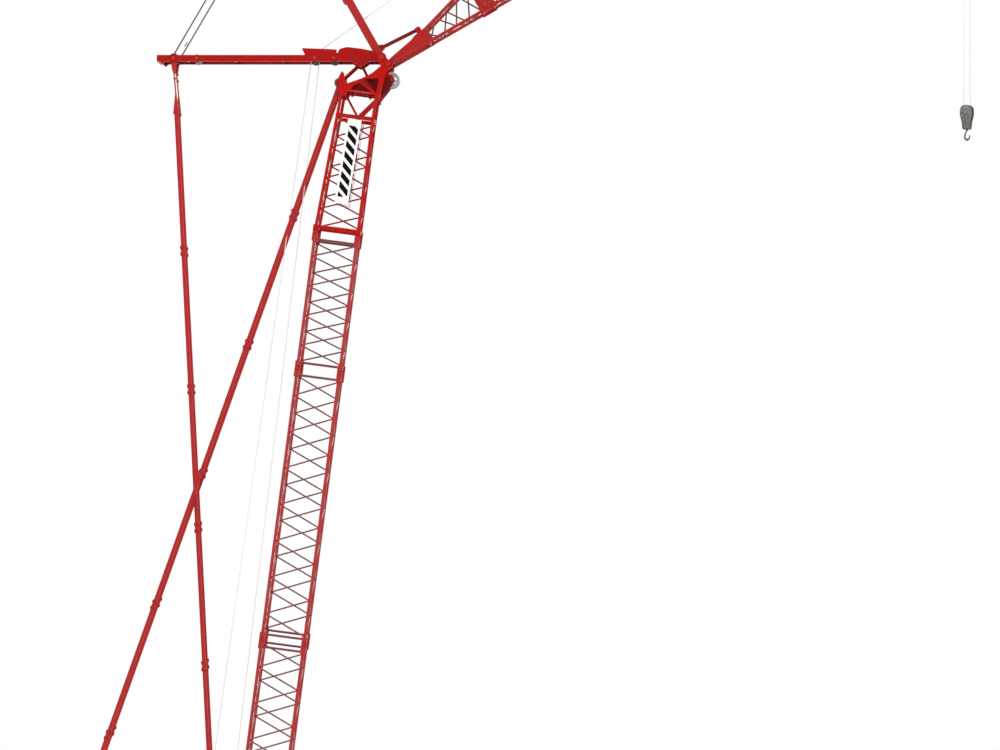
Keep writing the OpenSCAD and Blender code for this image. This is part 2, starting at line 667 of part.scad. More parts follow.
jib_stay_low_y = front_mast_y + 3.2;
module front_mast_sheaves() color(dark_grey) in_mast(front_mast_lean) {
  translate([front_mast_len, 0, 0]) {
    headed_pin(1, 2 * (jib_stay_low_y + stay_t / 2 + 0.3), 1.6, 0.5);
    for (y = luff_y) translate([0, y, 0]) sheave(mast_sheave_r, 2.6, 1);
    for (side = [-1, 1]) translate([0, side * (front_mast_y + 1.9) / 2, 0])
      rotate([90, 0, 0]) cylinder(h = front_mast_y - 4.8, r = 1.8, center = true);
  }
}

// Stop strut: pinned to the front mast, its other end slides in a guide on the jib foot
strut_jib_end = [39, 15.7];
module stop_strut() color(dark_red) {
  top = on_front_mast(stop_pin[0], stop_pin[1]);
  end = on_jib(strut_jib_end[0] + 2, strut_jib_end[1]);
  rod(top, end, 3.3, chord_sides);
  translate(top) rotate([90, 0, 0]) cylinder(h = 8.4, r = 0.9, center = true);
}

// ---------------------------------------------------------------- stays

// Children drawn along x are laid from p towards q
module from_to(p, q) {
  d = q - p;
  translate(p) rotate([0, -atan2(d[2], norm([d[0], d[1]])), atan2(d[1], d[0])]) children();
}

// One line of stay rods between the pins p and q: bars with an eye at each end, and link plates
// with pins between them. The end eyes have the bores given.
eye_r = 2.5;
link_t = 0.5;
link_w = 3.4;
stay_pin_r = 0.8;
module stay_line(p, q, rods, t, bores) {
  len = norm(q - p);
  pitch = len / rods;
  off = eye_r + 0.4;
  from_to(p, q) {
    for (i = [0:rods - 1]) {
      x0 = i == 0 ? 0 : i * pitch + off;
      x1 = i == rods - 1 ? len : (i + 1) * pitch - off;
      plate(0, t) difference() {
        union() {
          translate([x0 + 2, -stay_depth / 2]) square([x1 - x0 - 4, stay_depth]);
          for (x = [x0, x1]) translate([x, 0]) circle(r = eye_r);
        }
        if (i == 0) circle(r = bores[0]);
        if (i == rods - 1) translate([len, 0]) circle(r = bores[1]);
      }
    }
    for (i = [1:rods - 1]) translate([i * pitch, 0, 0]) {
      for (side = [-1, 1])
        plate(side * (t + link_t) / 2, link_t) {
          translate([-eye_r, -link_w / 2]) square([2 * eye_r, link_w]);
          for (x = [-off, off]) translate([x, 0]) circle(d = link_w + 0.6);
        }
      for (x = [-off, off]) translate([x, 0, 0])
        rotate([90, 0, 0]) cylinder(h = t + 2 * link_t + 0.8, r = 0.9, center = true);
    }
  }
}

rear_stay_y = 12;
rear_stay_top = on_rear_mast(rear_sheave_s - 1.9, -47.5, rear_stay_y);
rear_stay_low = on_boom(-boom_depth / 2 - rear_stay_off, rear_stay_z, rear_stay_y);
boom_stay_top = on_boom(stay_pin_x, boom_head_z + stay_pin_h, boom_stay_y);
boom_stay_low = [a_frame_top[0], boom_stay_y, a_frame_top[2]];
// Play of the open eyes at the far ends of the boom stays and the jib stays
boom_stay_play = 0.55;
jib_stay_play = 0.85;

function flip(p) = [p[0], -p[1], p[2]];

module rear_stays() color(crane_red) {
  bores = [stay_pin_r + 0.02, stay_pin_r + 0.02];
  stay_line(rear_stay_top, rear_stay_low, stay_rods, stay_t, bores);
  stay_line(flip(rear_stay_top), flip(rear_stay_low), stay_rods, stay_t, bores);
}
module boom_stays() color(crane_red) {
  bores = [head_shaft_r + pin_gap, stay_pin_r + boom_stay_play];
  stay_line(boom_stay_low, boom_stay_top, stay_rods, stay_t, bores);
  stay_line(flip(boom_stay_low), flip(boom_stay_top), stay_rods, stay_t, bores);
}

// Links from the rear mast down to the rear stays: lug, turnbuckle and fork
fork_t = 0.6;
fork_y = stay_t / 2 + 0.05 + fork_t / 2;
module rear_mast_links() color(crane_red) {
  for (side = [-1, 1]) {
    y = side * rear_stay_y;
    hang = on_rear_mast(rear_sheave_s, -rear_mast_depth / 2, y);
    low = [rear_stay_top[0], y, rear_stay_top[2]];
    fork_top = low + [0, 0, 15];
    translate(hang) plate(0, 1.8) polygon([[-2.4, 0], [2.4, 0], [1.3, -8.6], [-1.3, -8.6]]);
    rod(hang - [0, 0, 8], fork_top, 1.3);
    for (k = [0.3, 0.48])
      rod(between(hang, fork_top, k), between(hang, fork_top, k + 0.05), 2.6, chord_sides);
    translate(fork_top) plate(0, 2 * fork_y + fork_t)
      polygon([[-0.7, 0.5], [0.7, 0.5], [1.9, -11.6], [-1.9, -11.6]]);
    for (ear = [-1, 1]) translate(low) plate(ear * fork_y, fork_t) difference() {
      union() {
        translate([-1.9, 0]) square([3.8, 4]);
        circle(r = 2.3);
      }
      circle(r = stay_pin_r + 0.02);
    }
    translate(low) headed_pin(stay_pin_r, 2 * fork_y + fork_t, 1.3, 0.3);
  }
}

// ---------------------------------------------------------------- jib

// Sections are drawn along z with x pointing down, then laid along the jib
module along_jib() rotate([0, 90, 0]) children();
jib_c = corners(-jib_depth, 0, jib_width);
jib_bay = 13.7;
web_end_s = 44;
web_end_n = 11.4;
jib_hub_in = 2.2;
jib_tube_s = 10;

module jib_foot() color(crane_red) in_jib() difference() {
  union() {
    along_jib() {
      low_c = corners(-web_end_n + 0.6, 0, jib_width);
      lattice(low_c, jib_c, web_end_s - 2, jib_foot_len - joint_reach + 1, 4, jib_chord_d, jib_lace_d, 1);
      cross_bars(jib_c, jib_foot_len - joint_bar_gap, jib_lace_d + 0.9);
      cross_bars(low_c, web_end_s - 2, jib_lace_d + 0.9);
      forks(jib_c, jib_foot_len);
    }
    for (side = [-1, 1]) {
      y = side * jib_width / 2;
      rod([jib_hub_in, y, 0], [web_end_s + 1, y, 0], jib_chord_d + 0.5, chord_sides);
      // Solid web from the pin to the start of the lattice
      plate(y, 2) {
        circle(r = 3.4);
        polygon([[0, -1.2], [0, 3.2], [7, 4.9], [28, 9], [33, 11], [42.5, 12.4], [45, 9], [46, 2], [46, -1.2]]);
      }
      plate(y, 3.2) circle(r = 3);
      // Guide of the stop strut
      plate(side * 2.7, 1.4)
        polygon([[strut_jib_end[0] + 3.4, strut_jib_end[1] - 8], [strut_jib_end[0] - 4, strut_jib_end[1] - 8],
                 [strut_jib_end[0] - 2.4, strut_jib_end[1] + 2.2], [strut_jib_end[0] + 1, strut_jib_end[1] + 2.2]]);
    }
    translate([strut_jib_end[0], 0, strut_jib_end[1] - 7]) rotate([90, 0, 0])
      cylinder(h = jib_width, d = 2.6, center = true, $fn = chord_sides);
    translate([jib_tube_s, 0, 1.6]) rotate([90, 0, 0])
      cylinder(h = jib_width, d = 2.6, center = true, $fn = chord_sides);
  }
  for (side = [-1, 1])
    plate(side * jib_width / 2, 6) circle(r = 1.6 + pin_gap);
}

module jib_section_long() color(crane_red) in_jib() {
  along_jib() translate([0, 0, jib_long_s])
    section(jib_c, jib_long_len, even_bays(jib_long_len, jib_bay), jib_chord_d, jib_lace_d);
  // Trestle with a roller that holds the hoist rope up
  for (side = [-1, 1]) {
    for (x = [-13, 13])
      rod([trestle_s + x, side * jib_width / 2, jib_depth], [trestle_s, side * 3, trestle_n], 1.8);
    plate(side * 3, 1) translate([trestle_s, trestle_n]) circle(r = 3.4);
  }
  translate([trestle_s, 0, trestle_n]) rotate([90, 0, 0]) cylinder(h = 6, r = trestle_r, center = true);
}
module jib_section_short() color(crane_red) in_jib() along_jib() translate([0, 0, jib_short_s])
  section(jib_c, jib_short_len, even_bays(jib_short_len, jib_bay), jib_chord_d, jib_lace_d);
module jib_pins() color(steel_grey) in_jib() {
  along_jib() for (s = [jib_long_s, jib_short_s, jib_head_s]) joint_pins(jib_c, s);
  // Sheave pin of the jib head, and the guide sheave above it
  translate([jib_tip_s, 0, 0]) headed_pin(tip_pin_r, 2 * becket_y + becket_t + 0.4, 2.4, 0.6);
  translate([guide_s, 0, guide_n]) {
    headed_pin(1, 2 * tip_plate_y + tip_plate_t, 1.8, 0.5);
    sheave(guide_r, 3, 1);
  }
}
guide_r = 3.6;

// Jib head: the lattice closes to two plates that hold the sheave
jib_sheave_r = 8;
tip_pin_r = 1.4;
jib_sheave_w = 3;
tip_plate_y = 2.8;
tip_plate_t = 1.6;
becket_t = 1;
becket_y = tip_plate_y + tip_plate_t / 2 + side_gap + becket_t / 2;
guide_s = jib_tip_s - 34;
guide_n = 44;
jib_stay_s = jib_tip_s - 22;
jib_stay_n = 33;
tip_lattice_len = 84;

module jib_head() color(crane_red) in_jib() {
  along_jib() translate([0, 0, jib_head_s]) {
    end_c = corners(-jib_depth + 5, -5, 14);
    tongues(jib_c, 0);
    cross_bars(jib_c, joint_bar_gap, jib_lace_d + 0.9);
    lattice(jib_c, end_c, joint_reach - 1, tip_lattice_len, 6, jib_chord_d, jib_lace_d, 1.4);
    cross_bars(end_c, tip_lattice_len - 1, jib_lace_d + 0.9);
  }
  for (side = [-1, 1]) {
    plate(side * tip_plate_y, tip_plate_t) difference() {
      polygon([
        [jib_head_s + tip_lattice_len - 3, 3], [jib_head_s + tip_lattice_len - 3, jib_depth - 3],
        [guide_s - 8, jib_depth - 2], [guide_s - 3, guide_n + 2], [guide_s + 3, guide_n + 2],
        [jib_stay_s + 3, jib_stay_n + 3], [jib_tip_s - 6, 17], [jib_tip_s + 3.4, 1.4],
        [jib_tip_s + 2, -3], [jib_tip_s - 4, -3]
      ]);
      translate([jib_tip_s, 0]) circle(r = tip_pin_r);
      translate([guide_s, guide_n]) circle(r = 1);
      polygon([[jib_head_s + tip_lattice_len + 6, 9], [jib_head_s + tip_lattice_len + 6, 18],
               [guide_s + 4, 22], [jib_tip_s - 16, 12]]);
    }
    // Outriggers that end in the pins of the jib stays
    rod([jib_stay_s, side * 2.6, jib_stay_n], [jib_stay_s, side * (jib_stay_y - 1.1), jib_stay_n], 3,
        chord_sides);
    translate([jib_stay_s, side * jib_stay_y, jib_stay_n]) rotate([90, 0, 0])
      cylinder(h = 2.6, r = stay_pin_r, center = true);
    translate([jib_stay_s, side * (jib_stay_y + 1.3), jib_stay_n]) rotate([90, 0, 0])
      cylinder(h = 0.5, r = 2, center = true);
  }
  for (side = [-1, 1])
    translate([jib_head_s + tip_lattice_len - 2, side * 5.8, jib_depth / 2])
      cube([4, 6.4, jib_depth - 9], center = true);
}

module jib_head_sheave() color(steel_grey) in_jib() translate([jib_tip_s, 0, 0])
  sheave(jib_sheave_r, jib_sheave_w, tip_pin_r + pin_gap);

// ---------------------------------------------------------------- ropes

jib_stay_y = 14;
module jib_stays() color(crane_red) {
  for (side = [-1, 1]) {
    start = on_front_mast(front_mast_len, 0, side * jib_stay_low_y);
    end = on_jib(jib_stay_s, jib_stay_n, side * jib_stay_y);
    stay_line(start, end, stay_rods - 1, stay_t, [1 + pin_gap, stay_pin_r + jib_stay_play]);
  }
}

// Luffing ropes: falls between the mast tips, on both sides of the sheaves
module luffing_ropes() color(dark_grey) {
  low = on_rear_mast(rear_sheave_s, 0);
  high = on_front_mast(front_mast_len, 0);
  for (side = [-1, 1], y = luff_y) {
    shift = beside(low, high, side * rope_run(mast_sheave_r)) + [0, y, 0];
    rod(low + shift, high + shift, luff_rope_d);
  }
}

drum_front_x = -4.9;
drum_rear_x = -32.4;
drum_z = deck_top + 16;
rope_y = 5;
module hoist_ropes_boom() color(rope_pale) {
  roller = on_rear_mast(roller_places_s[1], roller_n);
  rope_off = drum_r + hoist_rope_d / 2 + 0.1;
  for (side = [-1, 1])
    rod([(side > 0 ? drum_front_x : drum_rear_x) + rope_off, -side * rope_y, drum_z],
        roller + [side * roller_run, -side * rope_y, 0], hoist_rope_d);
}
roller_run = roller_core_r + hoist_rope_d / 2 + 0.05;
// The jib's hoist rope runs over a trestle on the jib, then over the guide sheave of the jib head
trestle_s = jib_long_s + 21;
trestle_n = 57;
trestle_r = 2.4;
module hoist_rope_jib() color(rope_pale) {
  roller = on_rear_mast(roller_places_s[1], roller_n);
  trestle = on_jib(trestle_s, trestle_n + trestle_r + hoist_rope_d / 2 + 0.05);
  up = atan2(trestle[2] - roller[2], trestle[0] - roller[0]);
  rod(roller + roller_run * [-sin(up), 0, cos(up)], trestle, hoist_rope_d);
  rod(trestle, on_jib(guide_s, guide_n + rope_run(guide_r)), hoist_rope_d);
  fall = atan2(jib_tip_s - guide_s, guide_n);
  rod(on_jib(guide_s + rope_run(guide_r) * cos(fall), guide_n + rope_run(guide_r) * sin(fall)),
      on_jib(jib_tip_s + rope_run(jib_sheave_r) * cos(fall), rope_run(jib_sheave_r) * sin(fall)),
      hoist_rope_d);
}

tip = on_jib(jib_tip_s, 0);
block_top = tip[2] - falls_len;
fall_gap = 6;
block_x = tip[0] + rope_run(jib_sheave_r) - fall_gap / 2;
dead_x = rope_run(jib_sheave_r) - fall_gap;
becket_drop = jib_sheave_r + 3.4;
socket_pin_r = 0.8;
module hook_falls() color(rope_pale) {
  a = [cos(block_turn), -sin(block_turn), 0] * fall_gap / 2;
  middle = [block_x, 0, block_top + block_sheave_z];
  rod([tip[0] + rope_run(jib_sheave_r), 0, tip[2]], middle + a, hoist_rope_d);
  rod([tip[0] + dead_x, 0, tip[2] - becket_drop - socket_pin_r - 0.1], middle - a, hoist_rope_d);
}
// Becket: two straps that hang from the sheave pin and hold the rope's dead end in a socket
module rope_becket() color(steel_grey) translate(tip) {
  for (side = [-1, 1]) plate(side * becket_y, becket_t) difference() {
    union() {
      circle(r = 2.3);
      polygon([[-1.6, 0], [1.6, 0], [dead_x + 1.3, -becket_drop], [dead_x - 1.3, -becket_drop]]);
      translate([dead_x, -becket_drop]) circle(r = 1.5);
    }
    circle(r = tip_pin_r + pin_gap);
  }
  translate([dead_x, 0, -becket_drop]) {
    rotate([90, 0, 0]) cylinder(h = 2 * becket_y, r = socket_pin_r, center = true);
    difference() {
      translate([0, 0, -5]) cylinder(h = 5.4, r = 1.1);
      translate([0, 0, -5.1]) cylinder(h = 5.1 - socket_pin_r, d = hoist_rope_d + 0.2);
    }
  }
}

// ---------------------------------------------------------------- hook block

block_w = 10.8;
block_t = 7.6;
block_h = 21.8;
cheek_t = 2.2;
crosshead_h = 4;
shank_r = 0.9;
block_sheave_z = -8;
module in_block() translate([block_x, 0, block_top]) rotate([0, 0, -block_turn]) children();
module hook_block() color(dark_grey) in_block() {
  low = -block_h + 3;
  inner = block_t - 2 * cheek_t;
  for (side = [-1, 1])
    plate(side * (block_t - cheek_t) / 2, cheek_t)
      polygon([[-block_w / 2 + 1.6, 0], [block_w / 2 - 1.6, 0], [block_w / 2, -4], [block_w / 2, -13],
               [block_w / 2 - 2.4, low], [-block_w / 2 + 2.4, low], [-block_w / 2, -13],
               [-block_w / 2, -4]]);
  translate([0, 0, block_sheave_z]) headed_pin(block_pin_r, block_t, 1.8, 0.5);
  difference() {
    translate([0, 0, low + crosshead_h / 2]) cube([block_w - 5, inner + 0.4, crosshead_h], center = true);
    translate([0, 0, low - 1]) cylinder(h = crosshead_h + 2, r = shank_r + pin_gap);
  }
}
block_pin_r = 1;
module hook_sheave() color(steel_grey) in_block() translate([0, 0, block_sheave_z])
  sheave(fall_gap / 2 + 0.5, block_t - 2 * cheek_t - 2 * side_gap, block_pin_r + pin_gap);

// Hook: a nut above the crosshead, a shank through it and a bowl that opens to one side
hook_r = 3.4;
hook_t = 2;
module hook() color(dark_grey) in_block() translate([0, 0, -block_h]) {
  nut_z = 3 + crosshead_h + side_gap;
  bowl_z = -hook_r - 2.5;
  translate([0, 0, bowl_z + hook_r]) cylinder(h = nut_z + 1.2 - bowl_z - hook_r, r = shank_r);
  translate([0, 0, nut_z]) cylinder(h = 1.4, r = 1.4);
  translate([0, 0, bowl_z + hook_r]) cylinder(h = 3 - side_gap - bowl_z - hook_r, r = 1.4);
  translate([0, 0, bowl_z]) rotate([90, 0, 0]) {
    rotate([0, 0, 84]) rotate_extrude(angle = 286) translate([hook_r, 0]) circle(d = hook_t);
    for (a = [84, 370]) rotate([0, 0, a]) translate([hook_r, 0, 0]) sphere(d = hook_t);
  }
}

// ---------------------------------------------------------------- undercarriage

track_r = track_h / 2;
wheel_x = track_len / 2 - track_r;
band_r = track_r - 3;
band_t = 1.8;
shoe_t = 1.4;
wheel_r = band_r - 0.8;
wheel_w = 9;
frame_plate_t = 2.4;
frame_plate_y = wheel_w / 2 + 0.6 + frame_plate_t / 2;
frame_r = wheel_r - 1.4;
track_y = track_gauge / 2;
axle_r = 2;

module slot_shape(half_len, r) {
  translate([-half_len, -r]) square([2 * half_len, 2 * r]);
  for (side = [-1, 1]) translate([side * half_len, 0]) circle(r = r);
}

// One track: an endless band with shoes all round it
module track(y) translate([0, y, track_r]) {
  plate(0, shoe_w / 2) difference() {
    slot_shape(wheel_x, band_r + band_t);
    slot_shape(wheel_x, band_r);
  }
  straight_shoes = round(2 * wheel_x / 5.85);
  pitch = 2 * wheel_x / straight_shoes;
  shoe_len = pitch - 0.9;
  for (i = [0:straight_shoes - 1], side = [-1, 1])
    translate([-wheel_x + (i + 0.5) * pitch, 0, side * (track_r - shoe_t / 2)])
      cube([shoe_len, shoe_w, shoe_t], center = true);
  arc_shoes = 6;
  arc_r = sqrt(pow(track_r, 2) - pow(shoe_len / 2, 2)) - shoe_t / 2;
  for (i = [0:arc_shoes - 1], side = [-1, 1])
    translate([side * wheel_x, 0, 0]) rotate([0, side * (i + 0.5) * 180 / arc_shoes, 0])
      translate([0, 0, arc_r]) cube([shoe_len, shoe_w, shoe_t], center = true);
}

module track_frame(y, inward) translate([0, y, track_r]) {
  difference() {
    union() {
      for (side = [-1, 1]) plate(side * frame_plate_y, frame_plate_t) slot_shape(wheel_x, frame_r);
      translate([0, 0, 2]) cube([2 * wheel_x - 2 * wheel_r - 6, 2 * frame_plate_y, 2 * frame_r - 4.4], center = true);
      translate([0, inward * (frame_plate_y + 2), 1.4]) cube([76, 3, 9], center = true);
    }
    for (x = [-wheel_x, wheel_x]) translate([x, 0, 0]) rotate([90, 0, 0])
      cylinder(h = 30, r = axle_r, center = true);
    for (x = roller_places) translate([x, 0, roller_h]) rotate([90, 0, 0])
      cylinder(h = 30, r = 1, center = true);
  }
}
roller_r = 2.4;
roller_h = -band_r + roller_r + 0.2;
roller_count = 9;
roller_span = 2 * wheel_x - 2 * wheel_r - 8;
roller_places = [for (i = [0:roller_count - 1]) -roller_span / 2 + i * roller_span / (roller_count - 1)];

module track_frame_left() color(crane_red) track_frame(track_y, -1);
module track_frame_right() color(crane_red) track_frame(-track_y, 1);
module track_left() color(dark_grey) track(track_y);
module track_right() color(dark_grey) track(-track_y);

module track_rollers() color(dark_grey)
  for (y = [-track_y, track_y], x = roller_places)
    translate([x, y, track_r + roller_h]) rotate([90, 0, 0]) {
      cylinder(h = 2 * frame_plate_y + frame_plate_t, r = 1, center = true);
      cylinder(h = wheel_w, r = roller_r, center = true);
    }

module wheel_axle(x, y) translate([x, y, track_r]) headed_pin(axle_r, 2 * frame_plate_y + frame_plate_t, 3, 0.8);

module drive_sprocket(y) translate([wheel_x * -1, y, track_r]) rotate([90, 0, 0]) difference() {
  union() {
    cylinder(h = wheel_w, r = wheel_r - 1.6, center = true);
    for (i = [0:9]) rotate([0, 0, i * 36]) translate([wheel_r - 1.6, 0, 0])
      cube([3, 2.2, wheel_w - 4], center = true);
  }
  cylinder(h = 30, r = axle_r + pin_gap, center = true);
}
module idler(y) translate([wheel_x, y, track_r]) rotate([90, 0, 0]) rotate_extrude()
  polygon([[axle_r + pin_gap, -wheel_w / 2], [4, -wheel_w / 2], [4.4, -1.6], [wheel_r - 1.8, -1.6],
           [wheel_r - 1.2, -wheel_w / 2], [wheel_r, -wheel_w / 2], [wheel_r, -2], [wheel_r - 1, 0],
           [wheel_r, 2], [wheel_r, wheel_w / 2], [wheel_r - 1.2, wheel_w / 2], [wheel_r - 1.8, 1.6],
           [4.4, 1.6], [4, wheel_w / 2], [axle_r + pin_gap, wheel_w / 2]]);
module drive_sprocket_left() color(dark_grey) drive_sprocket(track_y);
module drive_sprocket_right() color(dark_grey) drive_sprocket(-track_y);
module idler_left() color(dark_grey) idler(track_y);
module idler_right() color(dark_grey) idler(-track_y);

ring_z = deck_z - 7.5;
beam_x = 28;
spigot_r = 8;
shelf_t = 3;
ballast_x = 36;
ballast_reach = 30;
ballast_w = 54;
module car_body() color(crane_red) {
  cross_len = track_gauge - 2 * (frame_plate_y + 3.5);
  difference() {
    union() {
      translate([0, 0, (belly_z + ring_z) / 2]) cube([56, 60, ring_z - belly_z], center = true);
      for (x = [-beam_x, beam_x])
        translate([x, 0, track_r + 1.4]) cube([14, cross_len, 9], center = true);
      for (side = [-1, 1])
        translate([side * (ballast_x - 2 + ballast_reach / 2), 0, belly_z + shelf_t / 2])
          cube([ballast_reach + 6, 30, shelf_t], center = true);
    }
    translate([0, 0, belly_z - 1]) cylinder(h = 9, r = 1.5);
    translate([0, 0, ring_z - 6]) cylinder(h = 10, r = spigot_r + pin_gap);
  }
  for (x = [-wheel_x, wheel_x], y = [-track_y, track_y]) wheel_axle(x, y);
}

module slew_ring() color(steel_grey) translate([0, 0, ring_z]) {
  teeth = 60;
  outer = 26;
  linear_extrude(4) difference() {
    polygon([for (i = [0:teeth - 1], k = [0:3])
      let (a = (i + [0, 0.3, 0.5, 0.8][k]) * 360 / teeth, r = outer - (k < 2 ? 0 : 1.2))
        [r * cos(a), r * sin(a)]]);
    circle(r = 18);
  }
}

module ballast_stack(x0, x1, w, z0, t, count) {
  for (i = [0:count - 1])
    translate([x0, -w / 2, z0 + i * t]) {
      cube([x1 - x0, w, t - 0.8]);
      translate([0.8, 0.8, t - 0.8]) cube([x1 - x0 - 1.6, w - 1.6, 0.8]);
    }
}
module car_ballast() color(crane_red)
  for (turn = [0, 180]) rotate([0, 0, turn])
    ballast_stack(ballast_x, ballast_x + ballast_reach, ballast_w, belly_z + shelf_t, 6, 3);

// ---------------------------------------------------------------- superstructure

ear_w = 2.6;
ear_in_y = boom_width / 2 - foot_lug_t / 2 - side_gap - ear_w / 2;
ear_out_y = boom_width / 2 + foot_lug_t / 2 + side_gap + ear_w / 2;
bracket_t = 2.6;
a_frame_bracket_y = a_frame_y - a_frame_leg_t / 2 - side_gap - bracket_t / 2;
deck_front = 33;
walk_w = 20;
beam_w = 7;

module boom_ear(y) plate(y, ear_w) difference() {
  union() {
    translate([boom_foot_x, boom_foot_z]) circle(r = 5.4);
    polygon([[boom_foot_x - 8, deck_z], [deck_front, deck_z], [boom_foot_x + 5.4, boom_foot_z],
             [boom_foot_x - 5.4, boom_foot_z]]);
  }
  translate([boom_foot_x, boom_foot_z]) circle(r = foot_pin_r);
}
module turntable_deck() color(crane_red) {
  for (side = [-1, 1]) {
    translate([-deck_tail, side > 0 ? deck_half_w - beam_w : -deck_half_w, deck_z])
      cube([deck_tail + boom_foot_x - 9, beam_w, deck_t]);
    boom_ear(side * ear_in_y);
    boom_ear(side * ear_out_y);
    // A-frame brackets
    plate(side * a_frame_bracket_y, bracket_t) difference() {
      union() {
        translate([a_frame_foot[0], a_frame_foot[2]]) circle(r = 4.6);
        polygon([[a_frame_foot[0] - 14, deck_z + 1], [a_frame_foot[0] + 14, deck_z + 1],
                 [a_frame_foot[0] + 4.4, a_frame_foot[2]], [a_frame_foot[0] - 4.4, a_frame_foot[2]]]);
      }
      translate([a_frame_foot[0], a_frame_foot[2]]) circle(r = foot_pin_r);
    }
    // Side outriggers that carry the cab and the engine house
    for (x = [-70, -14, 22])
      translate([x - 4, side > 0 ? deck_half_w - 1 : -deck_half_w - 36, deck_z + 1]) cube([8, 37, 4]);
  }
  translate([-deck_tail, -deck_half_w, deck_z]) cube([deck_tail + deck_front, 2 * deck_half_w, 2.6]);
  for (x = [-deck_tail, -82, -46, 8])
    translate([x, -deck_half_w, deck_z]) cube([5, 2 * deck_half_w, deck_t]);
  // Walkway behind the cab, with its handrail
  walk_y = -a_frame_y - a_frame_leg_t / 2 - 3 - walk_w;
  translate([-76, walk_y, deck_z + 4.4]) cube([76, walk_w, 1.4]);
  handrail([-75, walk_y + 0.8, deck_z + 5.8], [-1, walk_y + 0.8, deck_z + 5.8], 5);
  // Turntable under the deck
  translate([0, 0, ring_z + 4 + side_gap]) cylinder(h = deck_z - ring_z - 4 - side_gap + 1, r = 25);
  translate([0, 0, ring_z - 5]) cylinder(h = deck_z - ring_z + 5, r = spigot_r);
}

module deck_pins() color(steel_grey) {
  for (side = [-1, 1]) {
    translate([boom_foot_x, side * boom_width / 2, boom_foot_z])
      headed_pin(foot_pin_r, foot_lug_t + 2 * side_gap + 2 * ear_w, 2.8, 0.8);
    in_y = a_frame_bracket_y - bracket_t / 2 - 0.1;
    out_y = a_frame_y + a_frame_leg_t / 2 + 0.1;
    translate([a_frame_foot[0], side * (in_y + out_y) / 2, a_frame_foot[2]])
      headed_pin(foot_pin_r, out_y - in_y, 2.8, 0.8);
  }
}

frame_y = 19.2;
frame_t = 2.4;
luff_drum_x = -62;
luff_drum_z = deck_top + 11;
luff_drum_r = 5.5;
module winch_plate(x0, x1, bores) {
  difference() {
    polygon([[x0 - 12, 0], [x1 + 12, 0], [x1 + 9, bores[0][1] + 4], [x1 + 4, bores[0][1] + 8],
             [x0 - 4, bores[0][1] + 8], [x0 - 9, bores[0][1] + 4]]);
    for (b = bores) translate(b) circle(r = 2 + pin_gap);
  }
}
module winch_frames() color(crane_red) translate([0, 0, deck_top]) {
  h = drum_z - deck_top;
  lh = luff_drum_z - deck_top;
  for (side = [-1, 1]) {
    plate(side * frame_y, frame_t)
      winch_plate(drum_rear_x, drum_front_x, [[drum_rear_x, h], [drum_front_x, h]]);
    plate(side * frame_y, frame_t)
      winch_plate(luff_drum_x + 4, luff_drum_x - 4, [[luff_drum_x, lh]]);
    // Foot strips on the deck beams
    translate([drum_rear_x - 12, side > 0 ? frame_y : -deck_half_w + 1, 0])
      cube([drum_front_x - drum_rear_x + 24, deck_half_w - 1 - frame_y, 2]);
    translate([luff_drum_x - 8, side > 0 ? frame_y : -deck_half_w + 1, 0])
      cube([16, deck_half_w - 1 - frame_y, 2]);
  }
}

// A drum with flanges and rope laid on it in turns
module drum(r, flange_r, rope_d) rotate([90, 0, 0]) {
  half = frame_y - frame_t / 2 - side_gap;
  flange_t = 1.6;
  turns = floor((2 * half - 2 * flange_t) / (rope_d * 1.6));
  pitch = (2 * half - 2 * flange_t) / turns;
  low = -half + flange_t;
  rotate_extrude() polygon(concat(
    [[0, -half], [flange_r, -half], [flange_r, low]],
    [for (i = [0:turns - 1], k = [0:2])
      [r - (k == 0 ? rope_d / 2 : 0), low + (i + [0, 0.3, 0.7][k]) * pitch]],
    [[r - rope_d / 2, -low], [flange_r, -low], [flange_r, half], [0, half]]
  ));
  cylinder(h = 2 * (frame_y + frame_t / 2) + 2.4, r = 2, center = true);
}
module hoist_drum_front() color(steel_grey) translate([drum_front_x, 0, drum_z]) drum(drum_r, 12, hoist_rope_d);
module hoist_drum_rear() color(steel_grey) translate([drum_rear_x, 0, drum_z]) drum(drum_r, 12, hoist_rope_d);
module luffing_drum() color(steel_grey) translate([luff_drum_x, 0, luff_drum_z])
  drum(luff_drum_r, 9, hoist_rope_d);

// Fixed sheave block at the tail of the deck, under the A-frame head
tail_block_x = a_frame_top[0] + 6;
tail_block_z = deck_top + 9;
tail_sheave_r = 5;
reeve_y = [-10, -6, -2, 2, 6, 10];
module deck_sheaves() color(dark_grey) {
  translate([tail_block_x, 0, tail_block_z]) {
    headed_pin(1.4, 30, 2.2, 0.6);
    for (y = reeve_y) translate([0, y, 0]) sheave(tail_sheave_r, 2.6, 1.4);
    for (side = [-1, 1])
      plate(side * 14, 1.8) difference() {
        polygon([[-5, -9], [5, -9], [3, 2], [1.6, 3], [-1.6, 3], [-3, 2]]);
        circle(r = 1.4);
      }
  }
}

